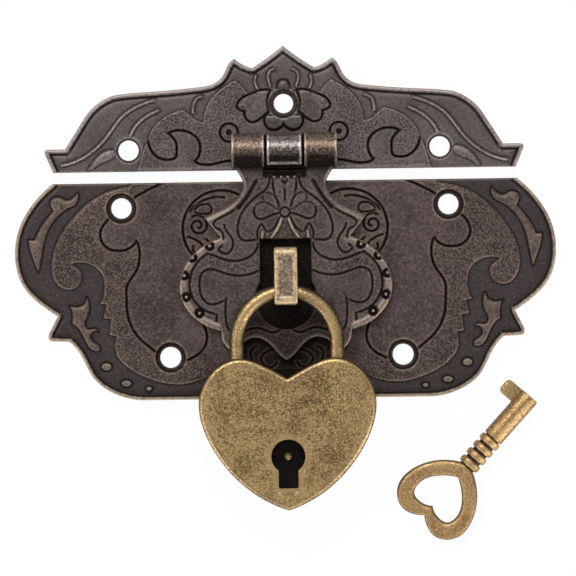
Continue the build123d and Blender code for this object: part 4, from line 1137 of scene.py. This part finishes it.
shackle = {"z": 8.7, "bar": 1.25, "arch": 8.8, "archY": -11.47, "heelY": -17.8, "toeY": -19.4,
           "toeRound": 0.5,
           "notch": (-18.25, -16.75), "notchX": 8.4, "eye": 1.9, "eyeBore": 0.8, "eyeHalf": 1.2}


def shackleMesh():
    s = shackle
    # stations along the bar: x, y and heading
    stations = [(-s["arch"], y, 0, 1) for y in np.linspace(s["heelY"], s["archY"], 10)[:-1]]
    for cosine, sine in around(np.radians(np.linspace(180, 0, 73))):
        stations.append((s["arch"] * cosine, s["archY"] + s["arch"] * sine, sine, -cosine))
    low, high = s["notch"]
    legs = [*np.linspace(s["archY"], high, 8)[1:], high - 0.01, *np.linspace(high, low, 4)[1:], low - 0.01]
    legs += [s["toeY"] + away for away in (0.5, 0.25, 0.08, 0)]
    stations += [(s["arch"], y, 0, -1) for y in legs]
    sides = np.radians(np.arange(0, 360, 6))
    towardsMiddle = np.cos(sides)
    rings, dark, rubbed = [], [], []
    for x, y, hx, hy in stations:
        radius = s["bar"] - (x > 0) * roundOff(y - s["toeY"], s["toeRound"], s["toeRound"])
        ring = (x, y, s["z"]) + radius * np.c_[hy * towardsMiddle, -hx * towardsMiddle, np.sin(sides)]
        if x > 0 and hy == -1 and low - 0.005 < y < high - 0.005:
            ring[:, 0] = np.maximum(ring[:, 0], s["notchX"])
        rings.append(ring[::-1])
        # painted shade at the sides and next to the case, a painted highlight down the middle, a painted
        # highlight line inside the arch
        fromTop = math.degrees(math.acos(min(1, abs(hx))))
        line = ease((fromTop - 15) / 12) * (1 - ease((fromTop - 68) / 18))
        besideCase, atSides = ease((-14.5 - y) / 2), ease((np.abs(towardsMiddle - 0.1) - 0.52) / 0.42)
        paintedShade = np.maximum(0.25 * besideCase, 0.72 * atSides)
        dark.append((paintedShade * (1 - line * (towardsMiddle > 0.5)))[::-1])
        polished = 0.3 * bell((towardsMiddle - 0.15) / 0.45) + line * bell((towardsMiddle - 0.72) / 0.1)
        rubbed.append(np.clip(polished, 0, 1)[::-1])
    bar = (*sweepRings(rings), {"dark": np.concatenate(dark), "rubbed": np.concatenate(rubbed)})
    bore, outer, bevel = s["eyeBore"], s["eye"], 0.2
    profile = ((bore, -1), (outer - bevel, -1), (outer, -0.8), (outer, 0.8), (outer - bevel, 1), (bore, 1))
    eyeSides = around(np.radians(np.arange(0, 360, 10)))
    eyePart = sweepRings([atHeight((-s["arch"], s["heelY"]) + radius * eyeSides, s["z"] + z * s["eyeHalf"])
                          for radius, z in profile], loop=True)
    return join([bar, (*eyePart, evenly(eyePart[0], dark=0.3))])


finish(newPiece("shackle", shackleMesh(), brass, sharp=40), "shackle_bar", "antique_brass", "shackle")
print("shackle")


# Heart case

heart = {"z": 8.7, "half": 4.0, "edge": 0.8, "face": 1.0, "side": 1.3, "keyhole": ((0, -31.7), 3.0),
         "slotWidth": 3.5, "slotEnd": -37.3, "slotCorner": 0.35, "keyholeBevel": 0.1}
heartEdge = [[(0, -17.9), (4.4, -15.5), (8.6, -14.4), (13.3, -16.7), (15.6, -22), (14.9, -26.6),
              (12, -32.2), (7.5, -37.1), (0, -41.2)]]
heartLoop = bothSides(trail(heartEdge, 0.3))


def keyholeLoop():
    (cx, cy), radius = heart["keyhole"]
    half, corner = heart["slotWidth"] / 2, heart["slotCorner"]
    meet = math.degrees(math.acos(half / radius))
    bow = circleLine((cx, cy), radius, -meet, 180 + 2 * meet)
    foot = heart["slotEnd"] + corner
    return np.vstack([bow, smoothLine([tuple(bow[-1]), (cx - half, foot)])[1:],
                      circleLine((cx - half + corner, foot), corner, 180, 90, 0.1)[1:],
                      circleLine((cx + half - corner, foot), corner, 270, 90, 0.1),
                      smoothLine([(cx + half, foot), tuple(bow[0])])[1:-1]])


def shellMesh(side, holes):
    # half of the case: rounded edge, face, hollow inside; side is 1 for the front
    h = heart
    way = -side
    face, ceiling = h["z"] + side * h["half"], h["z"] + side * (h["half"] - h["face"])
    inner, hollow = drawnIn(heartLoop, h["edge"]), drawnIn(heartLoop, h["side"])
    # how far in from the outline, and how high
    steps = [(0.0, h["z"] + side * (h["half"] - h["edge"]) * share) for share in (0, 0.5, 1.0)]
    for angle in np.radians(np.linspace(0, 90, 9))[1:]:
        steps.append((h["edge"] * (1 - math.cos(angle)), face - side * h["edge"] * (1 - math.sin(angle))))
    skin = sweepRings([atHeight(drawnIn(heartLoop, away), z)[::side] for away, z in steps],
                      closedEnds=False)
    inward = np.repeat([away for away, _ in steps], len(heartLoop))
    skinMarks = {"rubbed": 0.4 * bell((inward - 0.45) / 0.15), "dark": 0.7 * bell(inward / 0.28)}
    rows = [np.zeros((0, 2))] + [drawnIn(hole, -away) for hole in holes for away in (0.1, 0.2, 0.32, 0.5)]
    backwards = [hole[::-1] for hole in holes]
    extra = meshPoints(inner, backwards, np.vstack(rows), 0.8, edgeRows=(0.3, 0.7))
    flat, flatFaces, _ = triangulate([inner] + backwards, extra)
    height = np.zeros(len(flat))
    worn = 0.15 * bell(distance(flat, closed(inner), 4) / 0.35)
    for hole in holes:
        near = distance(flat, closed(hole), 3)
        height -= h["keyholeBevel"] * (1 - ease(near / 0.3))
        worn = np.maximum(worn, 0.75 * bell((near - 0.12) / 0.12))
    wallRings = ((heartLoop, h["z"]), (hollow, h["z"]), (hollow, ceiling))
    wall = sweepRings([atHeight(*ring)[::way] for ring in wallRings], closedEnds=False)
    under, underFaces, _ = triangulate([hollow] + backwards, np.zeros((0, 2)))
    # the case's inside is painted black as shade
    parts = [(*skin, skinMarks),
             (np.c_[flat, face + side * height], flatFaces[:, ::side].tolist(), {"rubbed": worn}),
             (*wall, evenly(wall[0], dark=1.0)),
             (atHeight(under, ceiling), underFaces[:, ::way].tolist(), evenly(under, dark=1.0))]
    for hole in holes:
        # the keyhole's wall is painted black as shade
        rim = sweepRings([atHeight(hole, face - h["keyholeBevel"]), atHeight(hole, ceiling)],
                         closedEnds=False)
        parts.append((*rim, evenly(rim[0], dark=0.95)))
    return join(parts)


for name, node, side, holes in (("frontShell", "front_shell", 1, [keyholeLoop()]),
                                ("backShell", "back_shell", -1, [])):
    finish(newPiece(name, shellMesh(side, holes), brass, sharp=40), "case", "antique_brass", node)
print("heart case")


# Key, lying beside the padlock: bow, ringed collar, hollow barrel, bit

key = {"origin": (31.5, -34.2, 2.0), "turn": -42.3, "barrel": 1.85, "length": 16.8, "bore": 0.85,
       "boreDepth": 6.0, "collarTop": 6.9, "ring": 2.0, "neck": 1.45, "rings": 4, "bowHalf": 1.1,
       "bit": (13.9, 16.7, 4.85, 0.65), "bitBevel": 0.22, "bitCorner": 0.8}
bowOuter = [[(0, 0.6), (4.2, -2), (7, -6.6), (6.9, -10.6), (3.9, -12.9), (1.3, -12.3), (0, -11.3)]]
bowInner = [[(0, -2.4), (3.4, -5.2), (4.45, -7.9), (3.9, -9.6), (2.3, -10), (0, -9.1)]]


def bowPart():
    outer, inner = bothSides(trail(bowOuter, 0.3)), bothSides(trail(bowInner, 0.3))
    rows = np.vstack([drawnIn(loop, away) for away in (0.12, 0.3, 0.55, 0.85)
                      for loop in (outer, inner[::-1])])
    points = meshPoints(outer, [inner[::-1]], rows, 0.45, edgeRows=())

    def bowTop(flat):
        edge = np.minimum(distance(flat, closed(outer)), distance(flat, closed(inner)))
        marks = {"rubbed": 0.15 * bell((edge - 0.5) / 0.2), "dark": 0.6 * bell(edge / 0.3)}
        return key["bowHalf"] - roundOff(edge, 0.8, 0.6), marks

    verts, faces, marks = solidPlate(outer, [inner], points, bowTop, 0)
    return join([(verts, faces, marks), (verts * (1, 1, -1), [face[::-1] for face in faces], marks)])


def stemPart():
    # collar, barrel and bore, turned from a profile of radius and height
    k = key
    neck, collarTop, barrel, length, bore = k["neck"], k["collarTop"], k["barrel"], k["length"], k["bore"]
    profile = [(0, 0), (neck, 0.0)]
    for i in range(k["rings"]):
        for angle in np.radians(np.linspace(0, 180, 9)):
            profile.append((neck + (k["ring"] - neck) * math.sin(angle) ** 0.6,
                            collarTop / k["rings"] * (i + 0.5 - 0.39 * math.cos(angle))))
    profile += [(neck, collarTop), (barrel - 0.15, collarTop), (barrel, collarTop + 0.15)]
    profile += [(barrel, y) for y in np.linspace(collarTop + 0.5, length - 0.4, 8)]
    profile += [(barrel - 0.12, length - 0.08), (barrel - 0.3, length), (bore + 0.15, length)]
    profile += [(bore, length - 0.15), (bore, length - k["boreDepth"]), (0.0, length - k["boreDepth"])]
    sides = around(np.radians(np.arange(0, 360, 9)))
    reach, along = np.repeat(profile, len(sides), axis=0).T
    rings = [atHeight(max(r, 0.001) * sides, y)[::-1, (0, 2, 1)] * (1, 1, -1) for r, y in profile]
    verts, faces = sweepRings(rings)
    # one painted highlight line along the barrel, painted shade on its sides, black between the collar's
    # rings, painted shade in the bore
    across = verts[:, 0] / barrel
    rubbed = np.where(along < collarTop, 0.2 * ease((reach - neck) / 0.5),
                      0.35 * bell((across - 0.42) / 0.14))
    dark = np.where(along < collarTop + 0.1, 1 - ease((reach - neck - 0.08) / 0.25),
                    0.35 * ease((np.abs(across) - 0.7) / 0.3))
    return verts, faces, {"rubbed": rubbed, "dark": dark + (reach < bore + 0.05) * 0.9}


def bitPart():
    fromY, toY, far, half = key["bit"]
    bevel, corner = key["bitBevel"], key["bitCorner"]
    corners = ((-far + corner, fromY + corner, 180), (-1.2, fromY + corner, 270), (-1.2, toY - corner, 0),
               (-far + corner, toY - corner, 90))
    rings = []
    for z, inset in ((-half, 0.5), (-half, bevel), (-half + bevel, 0), (half - bevel, 0), (half, bevel),
                     (half, 0.5)):
        rings.append([(cx + (corner - inset) * math.cos(a), cy + (corner - inset) * math.sin(a), z)
                      for cx, cy, start in corners for a in np.radians(start + np.linspace(0, 90, 5))])
    verts, faces = sweepRings(rings)
    return verts, faces, {"dark": 0.5 * ease((verts[:, 0] + 3.0) / 0.9), **evenly(verts, rubbed=0.1)}


verts, faces, marks = join([bowPart(), stemPart(), bitPart()])
(cosine, sine), = around(np.radians([key["turn"]]))
x, y, z = verts.T
keyPart = np.c_[x * cosine - y * sine, x * sine + y * cosine, z] + key["origin"], faces, marks
finish(newPiece("key", keyPart, keyBrass, sharp=45), "key_body", "antique_brass", "key")
print("key")


# Parts inside the padlock keep their CAD shape

innerNodes = ("heel_pin", "locking_bolt", "bolt_posts", "bolt_spring", "shackle_spring", "case_rivets")
for node, material in [(node, steel) for node in innerNodes] + [("key_post", brass)]:
    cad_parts[node].data.materials.clear()
    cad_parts[node].data.materials.append(material)
